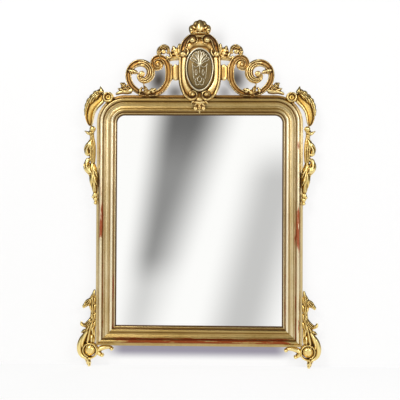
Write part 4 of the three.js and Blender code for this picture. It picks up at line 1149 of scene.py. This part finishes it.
carved_pair("corner_scroll", corner, [
    band([
        (80, 104, 34), (92, 103, 44), (108, 90, 46), (124, 71, 43), (135, 48, 38), (140, 24, 35),
        (139, 4, 27), (137, -14, 12),
    ], 33, lipped, flare=0.3),
    band(volute(corner_eye, 17, (65, 118), 1, -1, 1, (11, 11, 11)), 38, domed),
    button((*corner_eye, 30), 27, dip=5),
    band([(84, 120, 20), (106, 123, 27), (127, 108, 25), (146, 86, 22), (157, 58, 16), (160, 28, 8)],
         24, leafy, 7, 0.35),
    band([(88, 118, 20), (96, 134, 14), (99, 148, 4)], 26, leafy),
    band([(96, 114, 12), (112, 103, 17), (124, 90, 12), (132, 76, 4)], 38, domed, 2, 0.2),
    band([(112, 112, 12), (128, 96, 18), (141, 76, 14), (147, 56, 4)], 36, domed, 3, 0.2),
], yellow_gold)

carved_pair("side_drop", corner, [
    band([
        (135, -24, 18), (131, -58, 18), (129, -90, 25), (129, -120, 27), (128, -150, 22), (127, -164, 18),
    ], 22, ribbed),
    band([(129, -156, 16), (128, -182, 34), (125, -214, 38), (121, -246, 32), (117, -286, 14)],
         25, leafy, 3, 0.1),
    button((128, -25, 24), 28, ring=2),
    band([(122, -38, 8), (132, -41, 10), (142, -38, 8)], 25, domed),
    band([(134, -48, 14), (148, -40, 14), (162, -32, 4)], 22, leafy, 2),
    band([(130, -66, 18), (141, -90, 30), (151, -110, 26), (148, -126, 17), (137, -126, 10)],
         26, domed, 2, 0.15, forward=(0, 0, 4)),
    band([(128, -204, 24), (142, -192, 32), (151, -170, 28), (147, -150, 18), (136, -146, 12)],
         26, domed, 2, 0.15, forward=(0, 0, 4)),
    band([(120, -188, 14), (112, -208, 15), (105, -226, 5)], 25, leafy, 2),
    band([(120, -220, 14), (114, -238, 14), (108, -253, 5)], 25, leafy, 2),
    *[button(berry, 23, dip=2) for berry in (
        (117, -290, 20), (115, -307, 18), (115, -322, 14), (124, -298, 12),
    )],
], yellow_gold)

# ---------------------------------------------------------------------------- The feet
# A scroll foot carries each bottom corner: leaves down the stile, a ring volute with a domed
# button, and the tip that it stands on. A small forked scroll runs in under the bottom rail.

foot = (half_width, frame_bottom)
foot_eye = (21, -18)


def stood(shells):
    """Shells of a foot cut flat at the height of the shelf."""
    shelf = mirror_foot / mm + 0.4 - frame_bottom
    return [(np.maximum(verts, [-np.inf, -np.inf, shelf]), faces) for verts, faces in shells]


carved_pair("foot_scroll", foot, stood([
    band([(14, 92, 22), (22, 58, 44), (28, 26, 54), (32, -6, 48), (30, -30, 36)],
         27, ribbed, 3, 0.06, flare=0.3),
    band([(30, 60, 12), (44, 36, 20), (52, 8, 18), (48, -12, 8)], 31, domed, flare=0.4),
    band([(36, 54, 12), (54, 24, 22), (62, -4, 23), (59, -28, 20), (48, -42, 17), (32, -50, 12)],
         31, domed, flare=0.4),
    band(volute(foot_eye, 25, (28, -48), 1, 1, 1, (7, 8, 9)), 34, domed),
    button((*foot_eye, 46), 27, ring=0.9),
    band([(32, -44, 30), (29, -62, 23), (26, -78, 15), (25, -86, 9)], 27, leafy, 3, 0.2, round_ends=False),
    band([(14, 60, 30), (12, 96, 28), (10, 126, 22), (11, 150, 27), (12, 178, 30), (5, 224, 6)],
         24, ribbed, 5, 0.2),
    band([(12, 190, 18), (30, 172, 26), (46, 156, 16), (48, 148, 8)], 25, ribbed, 2, 0.2, forward=(0, 4)),
    band([(12, 116, 16), (26, 92, 21), (42, 80, 18), (55, 84, 13), (58, 96, 6)],
         25, ribbed, 2, 0.15, forward=(0, 4)),
    band([(34, 62, 14), (50, 56, 12), (58, 48, 5)], 22, leafy, 2),
]), yellow_gold)

carved_pair("inner_foot_scroll", foot, [
    band([(-6, -24, 20), (-19, -13, 21), (-37, -7, 18), (-55, -6, 14), (-68, -11, 12)], 25, domed),
    band([(-6, -18, 18), (-17, -32, 18), (-28, -39, 12)], 24, domed),
    button((-66, -12, 15), 25),
    button((-28, -38, 15), 25),
], yellow_gold)

# ---------------------------------------------------------------------------- The joinery of the back
# Bare wood, brown with age: three pine planks nailed across the back, two pine battens that carry
# the crest, and the oak tenons, keys and wedges that hold the frame and the glass.


def timber(name, pale, dark, upright, figure, shift=0.0):
    """Sawn timber. Its growth rings are the sine of a noise drawn out along the grain, with finer
    fibres over them, and a few knots. Boards with another shift come from another tree."""
    wood = Finish(bpy.data.materials.new(name))
    where = wood.vector("ADD", wood.place(), (shift, 0, shift))
    along = wood.vector("MULTIPLY", where, (1, 1, 0.07) if upright else (0.07, 1, 1))
    rings = (wood.math("SINE", wood.noise(along, figure, 1) * 130) * 0.5 + 0.5) ** 3.0
    fibre = wood.noise(along, 420, 4, 0.7)
    stain = wood.noise(where, 5, 3)
    knot = wood.node("ShaderNodeTexVoronoi", sockets={"Vector": where, "Scale": 4.5})
    knot = wood.rise(knot, 0.09, 0.03)
    share = wood.rise(fibre * 0.9 + stain * 0.7 - rings * 0.35, 0.2, 1.1)
    colour = wood.mix(share, dark, pale)
    colour = wood.mix(knot * 0.75, colour, rgb(58, 34, 20))
    grime = wood.rise(wood.noise(where, 17, 4, 0.65), 0.55, 0.75)
    colour = wood.mix(grime * 0.35, colour, rgb(60, 46, 34))
    height = fibre * 0.6 + rings * 0.12
    return wood.surface(colour, fibre * 0.2 + 0.62, bump=wood.bump(0.6, 0.5, height))


batten_pine = timber("batten_pine", rgb(184, 144, 98), rgb(120, 84, 52), True, 12)
level_oak = timber("level_oak", rgb(142, 104, 66), rgb(86, 58, 34), False, 30)
upright_oak = timber("upright_oak", rgb(142, 104, 66), rgb(86, 58, 34), True, 30)

for number in (1, 2, 3):
    plank_pine = timber(f"plank_pine_{number}", rgb(176, 134, 90), rgb(112, 76, 46), False, 7, number * 0.37)
    refinish(f"backing_plank_{number}", plank_pine)
for name in side_name.values():
    refinish(f"{name}_crest_batten", batten_pine)
    for joint in ("stile_tenon", "lower_side_wedge", "upper_side_wedge"):
        refinish(f"{name}_{joint}", upright_oak)
    for joint in ("rail_tenon", "mitre_key"):
        refinish(f"{name}_{joint}", level_oak)
for name in ("top_wedge", "bottom_wedge"):
    refinish(name, level_oak)

# ---------------------------------------------------------------------------- The ironwork
# Nails in the planks and screws in the battens. Two staples in the top rail hold the forged rings
# that the mirror hangs by: each ring swings on its staple's eye.


def wrought_iron():
    """Wrought iron, brown-black, with rust in patches and a hammered skin."""
    iron = Finish(bpy.data.materials.new("dark_iron"))
    where = iron.place()
    patch = iron.rise(iron.noise(where, 160, 4, 0.7), 0.5, 0.68)
    pit = iron.noise(where, 900, 3, 0.6)
    colour = iron.mix(patch * 0.8, rgb(70, 66, 62), rgb(112, 66, 40))
    height = pit * 0.5 + iron.noise(where, 240, 2) * 0.8
    rough = patch * 0.3 + pit * 0.2 + 0.35
    return iron.surface(colour, rough, 0.9 - patch * 0.6, iron.bump(0.5, 0.4, height))


dark_iron = wrought_iron()
ring_radius = 19.0
ring_wire = 2.2
staple_wire = 1.8
staple_eye = 5.6
staple_leg = 14.0
stand_off = 3.6


def wire(line, radius, level, loop=False):
    """A round wire along a line in a flat plane: a circle in the plane's normal, level, and the
    line's own normal, set at each point."""
    line = np.asarray(line, float)
    if loop:
        ahead = np.roll(line, -1, 0) - np.roll(line, 1, 0)
    else:
        ahead = np.gradient(line, axis=0)
    ahead /= np.linalg.norm(ahead, axis=1)[:, None]
    other = np.cross(ahead, level)
    angle = np.linspace(0, 2 * np.pi, 16, endpoint=False)
    circle = np.cos(angle)[:, None] * np.array(level) + np.sin(angle)[:, None] * other[:, None, :]
    return skin(line[:, None, :] + np.reshape(radius, (-1, 1, 1)) * circle, loop)


def iron_piece(name, verts, faces, node, body):
    """A smooth iron piece in place of its CAD node."""
    dress(new_piece(name, verts, outward(verts, faces)), dark_iron, node, body)


for name in side_name.values():
    middle = sum(box_of(f"{name}_hanging_ring")) / 2
    turn = np.linspace(0, 2 * np.pi, 96, endpoint=False)
    line = middle + ring_radius * np.stack([np.sin(turn), 0 * turn, np.cos(turn)], -1)
    forged = ring_wire * (0.97 + 0.03 * np.sin(5 * turn + 1.0))
    shell = wire(line, forged, (0, 1, 0), True)
    iron_piece(f"{name}_forged_ring", *shell, f"{name}_hanging_ring", f"{name}_ring")
    middle = sum(box_of(f"{name}_staple")) / 2
    bow = np.linspace(np.pi / 2, -np.pi / 2, 25)
    bend = np.stack([stand_off + staple_eye * np.cos(bow), staple_eye * np.sin(bow)], -1)
    legs = [[-staple_leg, staple_eye], *bend, [-staple_leg, -staple_eye]]
    line = [(middle[0], y, middle[2] + z) for y, z in legs]
    shell = wire(line, staple_wire, (1, 0, 0))
    iron_piece(f"{name}_bent_staple", *shell, f"{name}_staple", "mirror")
    for screw in ("rail_screw", "crest_screw"):
        refinish(f"{name}_{screw}", dark_iron)
    for number in (1, 2, 3):
        refinish(f"{name}_plank_nail_{number}", dark_iron)
